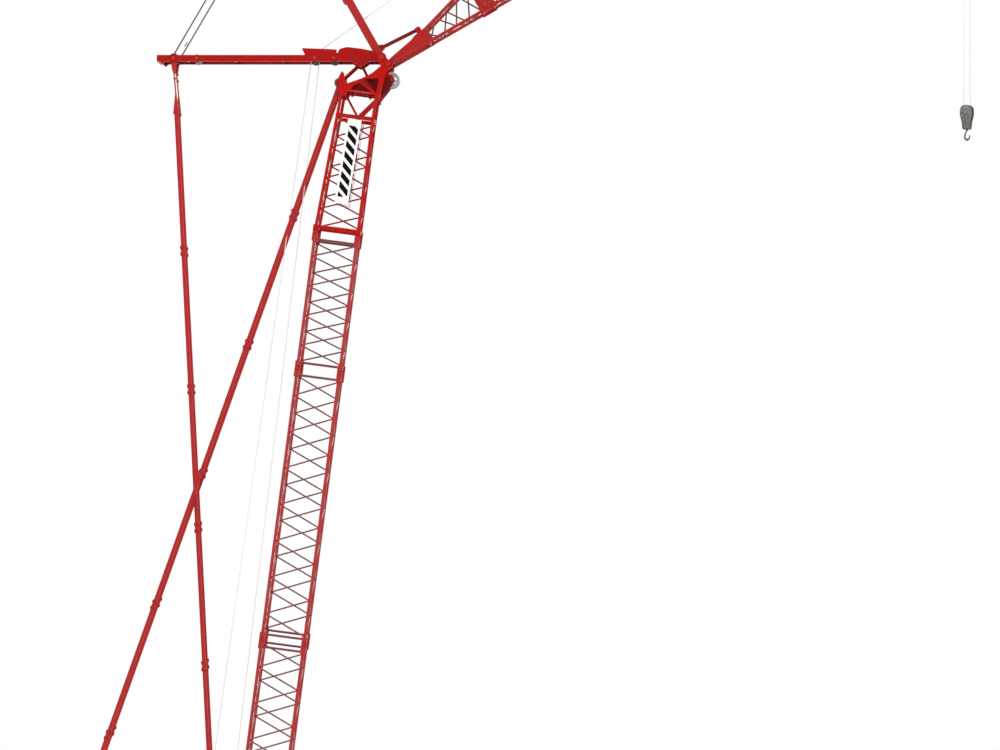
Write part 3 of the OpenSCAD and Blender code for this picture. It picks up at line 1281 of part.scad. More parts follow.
head_block_r = 5;
head_shaft_r = 1.4;
module a_frame() color(crane_red) difference() {
  a_frame_legs();
  translate(a_frame_top) rotate([90, 0, 0]) cylinder(h = 2 * boom_stay_y, r = head_shaft_r, center = true);
}
module a_frame_legs() {
  for (side = [-1, 1]) {
    y = side * a_frame_y;
    top_y = side * (boom_stay_y - 4.4);
    translate(a_frame_foot) plate(y, a_frame_leg_t) difference() {
      circle(r = 4);
      circle(r = foot_pin_r + pin_gap);
    }
    rod(between([a_frame_foot[0], y, a_frame_foot[2]], [a_frame_top[0], top_y, a_frame_top[2]], 0.011),
        [a_frame_top[0], top_y, a_frame_top[2]], 3.6, chord_sides);
    translate(a_frame_top) plate(side * (boom_stay_y - 3.4), 1.8) difference() {
      union() {
        circle(r = 5);
        polygon([[-5, 0], [5, 0], [10, -20], [5, -21]]);
      }
      circle(r = head_shaft_r);
    }
  }
  for (k = [0.45, 0.7, 0.93]) {
    leg_y = a_frame_y + (boom_stay_y - 4.4 - a_frame_y) * k;
    c = between(a_frame_foot, a_frame_top, k);
    translate(c) rotate([90, 0, 0]) cylinder(h = 2 * leg_y, d = 2.6, center = true, $fn = chord_sides);
  }
}
module a_frame_sheaves() color(dark_grey) translate(a_frame_top) {
  headed_pin(head_shaft_r, 2 * boom_stay_y + stay_t + 0.8, 2.2, 0.6);
  for (y = reeve_y) translate([0, y, 0]) sheave(head_block_r, 2.6, 1.4);
}
module a_frame_reeving() color(rope_pale) {
  for (y = reeve_y, side = [-1, 1])
    rod([tail_block_x + side * rope_run(tail_sheave_r), y, tail_block_z],
        [a_frame_top[0] + side * rope_run(head_block_r), y, a_frame_top[2]], hoist_rope_d);
}

// Counterweight: a tray across the tail with a stack of slabs at each side
tray_t = 4;
tray_x = -deck_tail - 2;
slab_in_y = deck_half_w + 4;
module counterweight_tray() color(dark_red)
  translate([tray_x - 3, -slab_in_y - slab_len - 1, deck_z - tray_t])
    cube([slab_depth + 6, 2 * (slab_in_y + slab_len + 1), tray_t]);
module counterweight_slabs() color(crane_red)
  for (side = [-1, 1])
    translate([0, side * (slab_in_y + slab_len / 2), 0]) {
      ballast_stack(tray_x, tray_x + slab_depth, slab_len, deck_z, slab_t, slab_count);
      // Lifting lugs
      for (y = [-0.3, 0.3] * slab_len)
        translate([tray_x + slab_depth / 2, 0, deck_z + slab_count * slab_t]) plate(y, 1.4) difference() {
          union() {
            circle(r = 3);
            translate([-3, -1]) square([6, 1]);
          }
          translate([0, 1]) circle(r = 1.1);
        }
    }

// A straight handrail from p to q on the level, with posts and two rails
rail_h = 10;
module handrail(p, q, posts) {
  for (i = [0:posts - 1]) {
    foot = between(p, q, i / (posts - 1));
    rod(foot - [0, 0, 0.6], foot + [0, 0, rail_h], 1);
  }
  for (z = [rail_h / 2, rail_h]) rod(p + [0, 0, z], q + [0, 0, z], 1);
}

// Engine house on the left, cab on the right
house_x = -78;
house_len = 92;
house_w = 26;
house_h = 30;
house_y = a_frame_y + a_frame_leg_t / 2 + 3;
platform_z = deck_z + 5;
module engine_house() color(crane_red) translate([house_x, house_y, platform_z]) {
  difference() {
    cube([house_len, house_w, house_h]);
    translate([-1, house_w + 4, house_h + 4]) rotate([45, 0, 0]) cube([house_len + 2, 8, 8], center = false);
    // Louvre slots in the outer side
    for (x = [10:6:40], z = [8, 14, 20]) translate([x, house_w - 0.8, z]) cube([4.4, 2, 1.6]);
    // Door joints
    for (x = [48, 64, 80]) translate([x, house_w - 0.5, 2]) cube([0.5, 2, house_h - 8]);
    for (x = [10:5:30], y = [6:4:18]) translate([x, y, house_h - 0.7]) cube([3.4, 2.4, 2]);
  }
  handrail([2, 2, house_h], [house_len - 2, 2, house_h], 5);
  handrail([house_len - 2, 2, house_h], [house_len - 2, house_w - 6, house_h], 3);
  translate([60, house_w / 2, house_h - 0.5]) cylinder(h = 8.5, d = 4);
  translate([60, house_w / 2, house_h + 7.4]) rotate([0, 30, 0]) cylinder(h = 3, d = 4.4);
}

cab_x = 6;
cab_len = 31;
cab_w = 20;
cab_h = 36;
cab_wall = 1.4;
cab_y = -a_frame_y - a_frame_leg_t / 2 - 3 - cab_w;
module cab_outline() polygon([[0, 0], [cab_len - 5, 0], [cab_len, 9], [cab_len - 7, cab_h - 2],
                              [cab_len - 9, cab_h], [1, cab_h], [0, cab_h - 1]]);
module cab_front_plane() translate([cab_len, 0, 9]) rotate([0, -atan2(7, cab_h - 11), 0]) children();
module cab_shell() color(crane_red) translate([cab_x, cab_y, platform_z]) difference() {
  translate([0, cab_w, 0]) rotate([90, 0, 0]) linear_extrude(cab_w) cab_outline();
  translate([0, cab_w - cab_wall, 0]) rotate([90, 0, 0]) linear_extrude(cab_w - 2 * cab_wall)
    offset(delta = -cab_wall) cab_outline();
  // Side windows and the windscreen
  translate([4, -1, 15]) cube([16, cab_w + 2, 16]);
  cab_front_plane() translate([-4, 2.6, 2]) cube([8, cab_w - 5.2, cab_h - 17]);
}
module cab_windows() color([0.15, 0.18, 0.2]) translate([cab_x, cab_y, platform_z]) {
  for (y = [0.5, cab_w - 1.1]) translate([4, y, 15]) cube([16, 0.6, 16]);
  cab_front_plane() translate([-1.2, 2.6, 2]) cube([0.6, cab_w - 5.2, cab_h - 17]);
}

// ---------------------------------------------------------------- nodes

car_body();
slew_ring();
track_frame_left();
track_frame_right();
track_left();
track_right();
track_rollers();
drive_sprocket_left();
drive_sprocket_right();
idler_left();
idler_right();
car_ballast();
turntable_deck();
engine_house();
cab_shell();
cab_windows();
counterweight_tray();
counterweight_slabs();
winch_frames();
hoist_drum_front();
hoist_drum_rear();
luffing_drum();
deck_pins();
deck_sheaves();
a_frame();
a_frame_sheaves();
a_frame_reeving();
boom_foot();
boom_section_lower();
boom_section_middle();
boom_section_upper();
boom_head();
boom_pins();
sign_plate();
head_sheave_front();
head_sheave_rear();
head_shafts();
rear_mast();
rear_mast_sheaves();
rear_mast_links();
rear_stays();
boom_stays();
front_mast();
front_mast_sheaves();
stop_strut();
jib_stays();
jib_foot();
jib_section_long();
jib_section_short();
jib_head();
jib_pins();
jib_head_sheave();
rope_becket();
luffing_ropes();
hoist_ropes_boom();
hoist_rope_jib();
hook_falls();
hook_block();
hook_sheave();
hook();
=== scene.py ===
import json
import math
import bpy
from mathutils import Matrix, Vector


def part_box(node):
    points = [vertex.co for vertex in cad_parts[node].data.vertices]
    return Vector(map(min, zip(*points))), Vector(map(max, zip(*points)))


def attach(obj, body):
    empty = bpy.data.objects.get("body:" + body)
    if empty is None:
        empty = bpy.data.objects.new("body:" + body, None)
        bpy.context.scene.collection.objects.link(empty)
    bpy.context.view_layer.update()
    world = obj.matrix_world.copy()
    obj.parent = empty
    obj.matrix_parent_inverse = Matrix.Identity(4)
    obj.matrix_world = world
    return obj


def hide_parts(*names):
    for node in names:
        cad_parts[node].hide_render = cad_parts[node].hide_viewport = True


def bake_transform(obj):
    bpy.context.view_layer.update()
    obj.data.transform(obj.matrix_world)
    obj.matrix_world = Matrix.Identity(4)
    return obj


bl_info = {
    "name": "Crawler crane display model",
    "version": (1, 0, 0),
    "blender": (4, 5, 0),
    "location": "View3D > Sidebar > Crane",
    "description": "Dresses a crawler crane with paint, metals, ropes, cab and house fittings",
    "category": "Object",
}

from functools import partial

import bmesh
import bpy
from mathutils import Matrix, Vector

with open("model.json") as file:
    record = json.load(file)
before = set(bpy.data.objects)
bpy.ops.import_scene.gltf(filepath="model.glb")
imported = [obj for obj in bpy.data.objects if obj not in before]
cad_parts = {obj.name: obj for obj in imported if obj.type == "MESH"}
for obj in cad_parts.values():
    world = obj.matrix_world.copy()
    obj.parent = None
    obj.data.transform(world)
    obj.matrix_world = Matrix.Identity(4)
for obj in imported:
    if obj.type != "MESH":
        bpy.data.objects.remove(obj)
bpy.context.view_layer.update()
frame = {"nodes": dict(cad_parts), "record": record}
RECORD = frame["record"]
JOINTS = RECORD["behaviour"]["joints"]
PLACE_OF = {joint["name"]: Vector(joint["pos_m"]) for joint in JOINTS if "pos_m" in joint}
SLOT_OF = {part["node"]: part["material_slot"] for part in RECORD["subparts"]}
MM = 0.001
BOOM_FOOT = PLACE_OF["boom_luff"]
JIB_PIN = PLACE_OF["jib_luff"]
JIB_TIP = PLACE_OF["jib_sheave_spin"]
JIB_RISE = math.atan2(JIB_TIP.z - JIB_PIN.z, JIB_TIP.x - JIB_PIN.x)


# ------------------------------------------------------------------ settings


class CranePaintSettings(bpy.types.PropertyGroup):
    red: bpy.props.StringProperty(
        name="Red", description="Gloss red of the plates, as a hex colour", default="#ba0d06"
    )
    chord_red: bpy.props.StringProperty(
        name="Chord red", description="Red of the tubes and stays, as a hex colour",
        default="#ad1614",
    )
    # Painted shade: the two lacing colours darken the thin bars of the boom and jib, as if shaded
    lacing: bpy.props.StringProperty(
        name="Boom lacing", description="Thin oversprayed bars of the boom", default="#70302f"
    )
    jib_lacing: bpy.props.StringProperty(
        name="Jib lacing", description="Thin oversprayed bars of the jib", default="#643231"
    )
    boom_lean: bpy.props.FloatProperty(
        name="Boom lean", description="Lean of the boom from upright", default=math.radians(7.48),
        unit="ROTATION",
    )
    # Reach of the bright red around a chord, beyond which the lacing's painted shade begins
    chord_reach: bpy.props.FloatProperty(
        name="Chord reach", description="How far the bright red reaches from a chord's axis",
        default=0.0034, unit="LENGTH",
    )


class CraneFittingSettings(bpy.types.PropertyGroup):
    plate: bpy.props.FloatProperty(
        name="Door plate", description="Thickness of the doors on the engine house", default=0.0005,
        unit="LENGTH",
    )
    slat_pitch: bpy.props.FloatProperty(
        name="Slat pitch", description="Height from one louvre slat to the next", default=0.0024,
        unit="LENGTH",
    )
    block_turn: bpy.props.FloatProperty(
        name="Block turn", description="Turn of the hook block about its ropes",
        default=math.radians(-30), unit="ROTATION",
    )
    cheek: bpy.props.FloatProperty(
        name="Cheek", description="Thickness of the hook block's side plates", default=0.0022,
        unit="LENGTH",
    )


class CraneStageSettings(bpy.types.PropertyGroup):
    lens: bpy.props.FloatProperty(
        name="Lens", description="Focal length of the camera", default=111.6, unit="CAMERA"
    )
    camera_x: bpy.props.FloatProperty(
        name="Camera X", description="Place of the camera along X", default=0.2728, unit="LENGTH"
    )
    camera_distance: bpy.props.FloatProperty(
        name="Distance", description="Distance of the camera from the crane", default=2.738,
        unit="LENGTH",
    )
    camera_height: bpy.props.FloatProperty(
        name="Height", description="Height of the camera", default=0.6976, unit="LENGTH"
    )
    rise: bpy.props.FloatProperty(
        name="Rise", description="Vertical shift of the lens", default=0.02
    )
    floor_radius: bpy.props.FloatProperty(
        name="Floor radius", description="Radius of the floor disc", default=2.2, unit="LENGTH"
    )


# ------------------------------------------------------------------ colours and nodes


def linear(hex_colour):
    """An sRGB hex colour as linear RGBA."""
    channels = [int(hex_colour[i : i + 2], 16) / 255 for i in (1, 3, 5)]
    return (*(c / 12.92 if c <= 0.04045 else ((c + 0.055) / 1.055) ** 2.4 for c in channels), 1)


def add(tree, kind, settings=None, links=None):
    """Adds one node, with its settings and the links into it.

    A setting named or numbered like a socket is set on that socket, the others on the node.
    """
    node = tree.nodes.new(kind)
    for key, value in (settings or {}).items():
        if isinstance(key, int) or key in node.inputs:
            node.inputs[key].default_value = value
        else:
            setattr(node, key, value)
    for key, source in (links or {}).items():
        tree.links.new(getattr(source, "outputs", [source])[0], node.inputs[key])
    return node


def start_material(name):
    """An empty node material: (material, its node adder, object coordinates)."""
    material = bpy.data.materials.new(name)
    material.use_nodes = True
    material.node_tree.nodes.clear()
    node = partial(add, material.node_tree)
    return material, node, node("ShaderNodeTexCoord").outputs["Object"]


def end_material(node, settings, links):
    """Gives a material its shader, with settings and links, and its output."""
    shader = node("ShaderNodeBsdfPrincipled", settings, links)
    node("ShaderNodeOutputMaterial", links={"Surface": shader})


# ------------------------------------------------------------------ masks of what is painted how


def leaning_axes(node, place, origin, lean):
    """The coordinates of a place, measured from an origin along axes that lean about Y."""
    local = node(
        "ShaderNodeMapping",
        {"vector_type": "TEXTURE", "Location": origin, "Rotation": (0, lean, 0)},
        {"Vector": place},
    )
    axis = node("ShaderNodeSeparateXYZ", links={0: local})
    return [axis.outputs[i] for i in range(3)]


def near_chords(node, across, rows, aside):
    """1 near a lattice's four chords, 0 away from them.

    across is the place across the lattice, rows are the places of its two pairs of chords, and
    aside is the distance from them sideways.
    """
    reach = bpy.context.scene.crane_paint.chord_reach
    gaps = []
    for place in rows:
        gap = node("ShaderNodeMath", {"operation": "SUBTRACT"}, {0: across, 1: place})
        gaps.append(node("ShaderNodeMath", {"operation": "ABSOLUTE"}, {0: gap}))
    gap = node("ShaderNodeMath", {"operation": "MINIMUM"}, {0: gaps[0], 1: gaps[1]})
    aside = node("ShaderNodeMath", {"operation": "ABSOLUTE"}, {0: aside})
    away = node("ShaderNodeMath", {"operation": "MAXIMUM"}, {0: gap, 1: aside})
    # The bright red fades into the lacing's painted shade over 0.8 mm
    return node(
        "ShaderNodeMapRange",
        {"From Min": reach, "From Max": reach + 0.8 * MM, "To Min": 1.0, "To Max": 0.0},
        {"Value": away},
    )


def boom_chords(node, place):
    """1 on the boom's chords, joints and head frames, 0 on its lacing."""
    lean = bpy.context.scene.crane_paint.boom_lean
    x, y, z = leaning_axes(node, place, BOOM_FOOT, lean)
    # The chords spread from the foot up to 118 mm, and the rear pair closes in the head
    spread = node(
        "ShaderNodeMapRange",
        {"From Min": 0.009, "From Max": 0.118, "To Min": 0.002, "To Max": 0.0186},
        {"Value": z},
    )
    close = node(
        "ShaderNodeMapRange", {"From Min": 0.806, "From Max": 0.905, "To Max": 0.0058}, {0: z}
    )
    rear = node("ShaderNodeMath", {"operation": "SUBTRACT"}, {0: close, 1: spread})
    side = node("ShaderNodeMath", {"operation": "ABSOLUTE"}, {0: y})
    aside = node("ShaderNodeMath", {"operation": "SUBTRACT", 1: 0.023}, {0: side})
    chord = near_chords(node, x, (spread, rear), aside)
    # All red: the foot's plates below 20 mm, and the head above 800 mm but for its laced middle
    foot = node("ShaderNodeMath", {"operation": "LESS_THAN", 1: 0.020}, {0: z})
    top = node("ShaderNodeMath", {"operation": "GREATER_THAN", 1: 0.7999}, {0: z})
    laced = node("ShaderNodeMath", {"operation": "COMPARE", 1: 0.853, 2: 0.0455}, {0: z})
    head = node("ShaderNodeMath", {"operation": "SUBTRACT", "use_clamp": True}, {0: top, 1: laced})
    ends = node("ShaderNodeMath", {"operation": "MAXIMUM"}, {0: head, 1: foot})
    return node("ShaderNodeMath", {"operation": "MAXIMUM"}, {0: chord, 1: ends})


def jib_chords(node, place):
    """1 on the jib's chords, webs and tip plates, 0 on its lacing."""
    along, y, up = leaning_axes(node, place, JIB_PIN, -JIB_RISE)
    # All four chords close in towards the tip, and the upper ones rise in the foot
    tip = node("ShaderNodeMapRange", {"From Min": 0.469, "From Max": 0.546}, {"Value": along})
    low = node("ShaderNodeMath", {"operation": "MULTIPLY", 1: 0.005}, {0: tip})
    high = node(
        "ShaderNodeMapRange",
        {"From Min": 0.042, "From Max": 0.096, "To Min": 0.0108, "To Max": 0.0265},
        {"Value": along},
    )
    high = node("ShaderNodeMath", {"operation": "SUBTRACT"}, {0: high, 1: low})
    half = node("ShaderNodeMath", {"operation": "MULTIPLY_ADD", 1: -0.0085, 2: 0.0155}, {0: tip})
    side = node("ShaderNodeMath", {"operation": "ABSOLUTE"}, {0: y})
    aside = node("ShaderNodeMath", {"operation": "SUBTRACT"}, {0: side, 1: half})
    chord = near_chords(node, up, (low, high), aside)
    # All red: the foot's webs, the first joint and the tip's plates
    web = node("ShaderNodeMath", {"operation": "LESS_THAN", 1: 0.043}, {0: along})
    joint = node("ShaderNodeMath", {"operation": "COMPARE", 1: 0.102, 2: 0.008}, {0: along})
    web = node("ShaderNodeMath", {"operation": "MAXIMUM"}, {0: web, 1: joint})
    plates = node("ShaderNodeMath", {"operation": "GREATER_THAN", 1: 0.546}, {0: along})
    ends = node("ShaderNodeMath", {"operation": "MAXIMUM"}, {0: web, 1: plates})
    return node("ShaderNodeMath", {"operation": "MAXIMUM"}, {0: chord, 1: ends})


def head_painted_shade_mask(node, place):
    """A mask for painted shade on the boom head: 1 on its outside, less in its box and on its
    lacing and window bars, which are painted darker as if shaded.
    """
    chords = boom_chords(node, place)
    # Painted shade on the head's lacing, which keeps 0.3 of the bright red
    lacing = node("ShaderNodeMath", {"operation": "MULTIPLY_ADD", 1: 0.7, 2: 0.3}, {0: chords})
    # The bars in the side windows lie within 3 to 7 mm of the middle of the window, and get painted
    # shade there, down to 0.45 within 3 mm
    window = node(
        "ShaderNodeMapping",
        {"Location": (-0.1558, 0, -0.9705), "Scale": (1, 0, 1)},
        {"Vector": place},
    )
    reach = node("ShaderNodeVectorMath", {"operation": "LENGTH"}, {0: window}).outputs["Value"]
    bars = node(
        "ShaderNodeMapRange", {"From Min": 0.003, "From Max": 0.007, "To Min": 0.45}, {0: reach}
    )
    lacing = node("ShaderNodeMath", {"operation": "MINIMUM"}, {0: lacing, 1: bars})
    axis = node("ShaderNodeSeparateXYZ", links={0: place})
    x, y, z = (axis.outputs[i] for i in range(3))
    inner = node("ShaderNodeMath", {"operation": "COMPARE", 1: 0.0, 2: 0.0205}, {0: y})
    # The box's floor is square to the boom, 26.4 mm below the jib's pin; the painted shade stops at
    # it, so it stays bright underneath
    lean = bpy.context.scene.crane_paint.boom_lean
    floor = JIB_PIN.z + JIB_PIN.x * math.tan(lean) - 0.0264 / math.cos(lean)
    level = node("ShaderNodeMath", {"operation": "MULTIPLY_ADD", 1: math.tan(lean)}, {0: x, 2: z})
    box = node("ShaderNodeMath", {"operation": "GREATER_THAN", 1: floor}, {0: level})
    roof = node("ShaderNodeMath", {"operation": "LESS_THAN", 1: 0.9775}, {0: z})
    box = node("ShaderNodeMath", {"operation": "MULTIPLY"}, {0: box, 1: roof})
    # Painted shade inside the box, between its side plates, leaves 0.2 of the bright red
    dark = node("ShaderNodeMath", {"operation": "MULTIPLY"}, {0: inner, 1: box})
    lit = node("ShaderNodeMath", {"operation": "MULTIPLY_ADD", 1: -0.8, 2: 1.0}, {0: dark})
    return node("ShaderNodeMath", {"operation": "MINIMUM"}, {0: lit, 1: lacing})


def beyond(distance, node, place):
    """1 beyond a distance from the middle plane, to either side, and 0 within it."""
    axis = node("ShaderNodeSeparateXYZ", links={0: place})
    side = node("ShaderNodeMath", {"operation": "ABSOLUTE"}, {0: axis.outputs[1]})
    return node("ShaderNodeMath", {"operation": "GREATER_THAN", 1: distance}, {0: side})


# The rear mast's outer sides, bright beside the painted shade on the beams' inner sides, and the
# painted ends of the shafts between its beams
mast_painted_shade_mask = partial(beyond, 0.0122)
mast_shaft_ends = partial(beyond, 0.0113)


# ------------------------------------------------------------------ materials


def gloss_enamel(name, colour, deep, specular=0.14, shade=None):
    """Sprayed gloss enamel on die-cast zinc.

    It gives a deep even colour with a soft highlight, slightly clouded, with fine orange peel
    0.7 mm across. Its specular level is low, because the coat is thin and a little dulled.
    shade is (maker of a mask, dark colour): painted shade, the dark colour where the mask falls
    towards 0, on faces meant to look shaded.
    """
    material, node, place = start_material(name)
    cloud = node("ShaderNodeTexNoise", {"Scale": 1 / 0.009}, {"Vector": place})
    share = node(
        "ShaderNodeMapRange", {"From Min": 0.3, "From Max": 0.7, "To Max": 0.4}, {"Value": cloud}
    )
    coat = node(
        "ShaderNodeMix", {"data_type": "RGBA", 6: linear(colour), 7: linear(deep)}, {0: share}
    ).outputs[2]
    # Painted shade: the dark colour where the mask is 0, the enamel where it is 1
    if shade:
        mask, dark = shade
        coat = node(
            "ShaderNodeMix", {"data_type": "RGBA", 6: linear(dark)}, {0: mask(node, place), 7: coat}
        ).outputs[2]
    fine = node("ShaderNodeTexNoise", {"Scale": 1 / 0.003}, {"Vector": place})
    dull = node("ShaderNodeMapRange", {"To Min": 0.26, "To Max": 0.46}, {"Value": fine})
    peel = node("ShaderNodeTexNoise", {"Scale": 1 / 0.0007, "Detail": 1.0}, {"Vector": place})
    relief = node("ShaderNodeBump", {"Distance": 0.02 * MM, "Strength": 0.5}, {"Height": peel})
    end_material(
        node,
        {"IOR": 1.5, "Specular IOR Level": specular},
        {"Base Color": coat, "Roughness": dull, "Normal": relief},
    )
    return material


def blackened_steel(name, colour, rubbed, metallic=0.5, painted=None):
    """Chemically blackened steel, as on the hook block and small sheaves.

    It gives a dull grey sheen with lighter rubbed patches about 2 mm across.
    painted is (maker of a mask, colour), for ends that are painted over.
    """
    material, node, place = start_material(name)
    patch = node("ShaderNodeTexNoise", {"Scale": 1 / 0.0022, "Detail": 4.0}, {"Vector": place})
    worn = node("ShaderNodeMapRange", {"From Min": 0.35, "From Max": 0.75}, {"Value": patch})
    skin = node(
        "ShaderNodeMix", {"data_type": "RGBA", 6: linear(colour), 7: linear(rubbed)}, {0: worn}
    ).outputs[2]
    dull = node("ShaderNodeMapRange", {"To Min": 0.32, "To Max": 0.58}, {"Value": patch})
    grain = node("ShaderNodeTexNoise", {"Scale": 1 / 0.0005}, {"Vector": place})
    relief = node("ShaderNodeBump", {"Distance": 0.02 * MM, "Strength": 0.4}, {"Height": grain})
    links = {"Base Color": skin, "Roughness": dull, "Normal": relief}
    if painted:
        mask, paint = painted
        covered = mask(node, place)
        links["Base Color"] = node(
            "ShaderNodeMix", {"data_type": "RGBA", 7: linear(paint)}, {0: covered, 6: skin}
        ).outputs[2]
        links["Metallic"] = node(
            "ShaderNodeMath", {"operation": "MULTIPLY_ADD", 1: -metallic, 2: metallic}, {0: covered}
        )
    end_material(node, {"Metallic": metallic}, links)
    return material


def turned_steel(name, colour, bright):
    """Turned and zinc-plated steel, as on pins, drums and large sheaves.

    It gives a cool grey, with tool marks 0.13 mm apart along Y, the turning axis.
    """
    material, node, place = start_material(name)
    squeezed = node("ShaderNodeMapping", {"Scale": (1, 9, 1)}, {"Vector": place})
    marks = node("ShaderNodeTexNoise", {"Scale": 1 / 0.0012, "Detail": 3.0}, {"Vector": squeezed})
    skin = node(
        "ShaderNodeMix", {"data_type": "RGBA", 6: linear(colour), 7: linear(bright)}, {0: marks}
    ).outputs[2]
    dull = node("ShaderNodeMapRange", {"To Min": 0.3, "To Max": 0.55}, {"Value": marks})
    relief = node("ShaderNodeBump", {"Distance": 0.015 * MM, "Strength": 0.4}, {"Height": marks})
    end_material(node, {"Metallic": 0.9}, {"Base Color": skin, "Roughness": dull, "Normal": relief})
    return material


def moulded_abs(name, colour, worn, roughness=0.55):
    """Injection-moulded ABS, as on the track shoes and the cab's seat.

    It gives a dull even black with a spark-eroded grain, 0.6 mm so that it shows.
    """
    material, node, place = start_material(name)
    grain = node("ShaderNodeTexNoise", {"Scale": 1 / 0.0006}, {"Vector": place})
    skin = node(
        "ShaderNodeMix", {"data_type": "RGBA", 6: linear(colour), 7: linear(worn)}, {0: grain}
    ).outputs[2]
    dull = node(
        "ShaderNodeMapRange", {"To Min": roughness - 0.1, "To Max": roughness + 0.1}, {0: grain}
    )
    relief = node("ShaderNodeBump", {"Distance": 0.03 * MM, "Strength": 0.6}, {"Height": grain})
    end_material(node, {"IOR": 1.53}, {"Base Color": skin, "Roughness": dull, "Normal": relief})
    return material


def tread_plate(name, colour, deep):
    """Enamelled chequer plate, as on the deck and walkways.

    It gives the red enamel's colour with raised lozenges 2.4 mm apart on what faces up.
    """
    material, node, place = start_material(name)
    cloud = node("ShaderNodeTexNoise", {"Scale": 1 / 0.007}, {"Vector": place})
    coat = node(
        "ShaderNodeMix", {"data_type": "RGBA", 6: linear(colour), 7: linear(deep)}, {0: cloud}
    ).outputs[2]
    turned = node("ShaderNodeMapping", {"Rotation": (0, 0, math.radians(45))}, {"Vector": place})
    cells = node(
        "ShaderNodeTexVoronoi",
        {"voronoi_dimensions": "2D", "distance": "CHEBYCHEV", "Scale": 1 / 0.0024, "Randomness": 0},
        {"Vector": turned},
    )
    stud = node(
        "ShaderNodeMapRange",
        {"From Min": 0.2, "From Max": 0.34, "To Min": 1.0, "To Max": 0.0},
        {"Value": cells},
    )
    normal = node("ShaderNodeNewGeometry").outputs["Normal"]
    facing = node("ShaderNodeSeparateXYZ", links={0: normal})
    top = node("ShaderNodeMath", {"operation": "GREATER_THAN", 1: 0.9}, {0: facing.outputs[2]})
    height = node("ShaderNodeMath", {"operation": "MULTIPLY"}, {0: stud, 1: top})
    relief = node("ShaderNodeBump", {"Distance": 0.15 * MM, "Strength": 0.8}, {"Height": height})
    end_material(
        node,
        {"Roughness": 0.42, "Specular IOR Level": 0.25},
        {"Base Color": coat, "Normal": relief},
    )
    return material


def cast_iron(name, colour, deep):
    """Sand-cast iron under satin paint, as on the counterweight slabs.

    It gives a flatter red with a sandy skin, its grains 1.5 mm so that they show.
    """
    material, node, place = start_material(name)
    cloud = node("ShaderNodeTexNoise", {"Scale": 1 / 0.014, "Detail": 3.0}, {"Vector": place})
    coat = node(
        "ShaderNodeMix", {"data_type": "RGBA", 6: linear(colour), 7: linear(deep)}, {0: cloud}
    ).outputs[2]
    sand = node("ShaderNodeTexNoise", {"Scale": 1 / 0.0015, "Detail": 4.0}, {"Vector": place})
    dull = node("ShaderNodeMapRange", {"To Min": 0.42, "To Max": 0.7}, {"Value": sand})
    relief = node("ShaderNodeBump", {"Distance": 0.12 * MM, "Strength": 0.6}, {"Height": sand})
    end_material(
        node, {"Specular IOR Level": 0.3}, {"Base Color": coat, "Roughness": dull, "Normal": relief}
    )
    return material


def twisted_thread(name, colour, shade, lay):
    """Twisted polyester thread, waxed, used as wire rope on models.

    It gives a matt pale or dark line with slanted strands. lay is the direction that the strands
    repeat in, and they are 2.2 mm apart, coarse enough to show.
    """
    material, node, place = start_material(name)
    turned = node(
        "ShaderNodeMapping", {"vector_type": "TEXTURE", "Rotation": (0, lay, 0)}, {"Vector": place}
    )
    # At a scale of 1 the bands repeat every 0.314 m
    strands = node(
        "ShaderNodeTexWave",
        {"wave_type": "BANDS", "bands_direction": "X", "Scale": 0.314 / 0.0022, "Distortion": 0.4},
        {"Vector": turned},
    ).outputs["Fac"]
    # Painted shade: the second colour darkens the grooves between the strands
    skin = node(
        "ShaderNodeMix", {"data_type": "RGBA", 6: linear(shade), 7: linear(colour)}, {0: strands}
    ).outputs[2]
    relief = node("ShaderNodeBump", {"Distance": 0.08 * MM, "Strength": 0.6}, {"Height": strands})
    end_material(
        node, {"Roughness": 0.8, "Sheen Weight": 0.2}, {"Base Color": skin, "Normal": relief}
    )
    return material


def clear_styrene(name):
    """Clear polystyrene glazing, slightly grey, with faint flow marks 5 mm across."""
    material, node, place = start_material(name)
    flow = node("ShaderNodeTexNoise", {"Scale": 1 / 0.005}, {"Vector": place})
    dull = node("ShaderNodeMapRange", {"To Min": 0.01, "To Max": 0.05}, {"Value": flow})
    end_material(
        node,
        {"Base Color": linear("#dfe7ea"), "Transmission Weight": 1.0, "IOR": 1.59},
        {"Roughness": dull},
    )
    return material


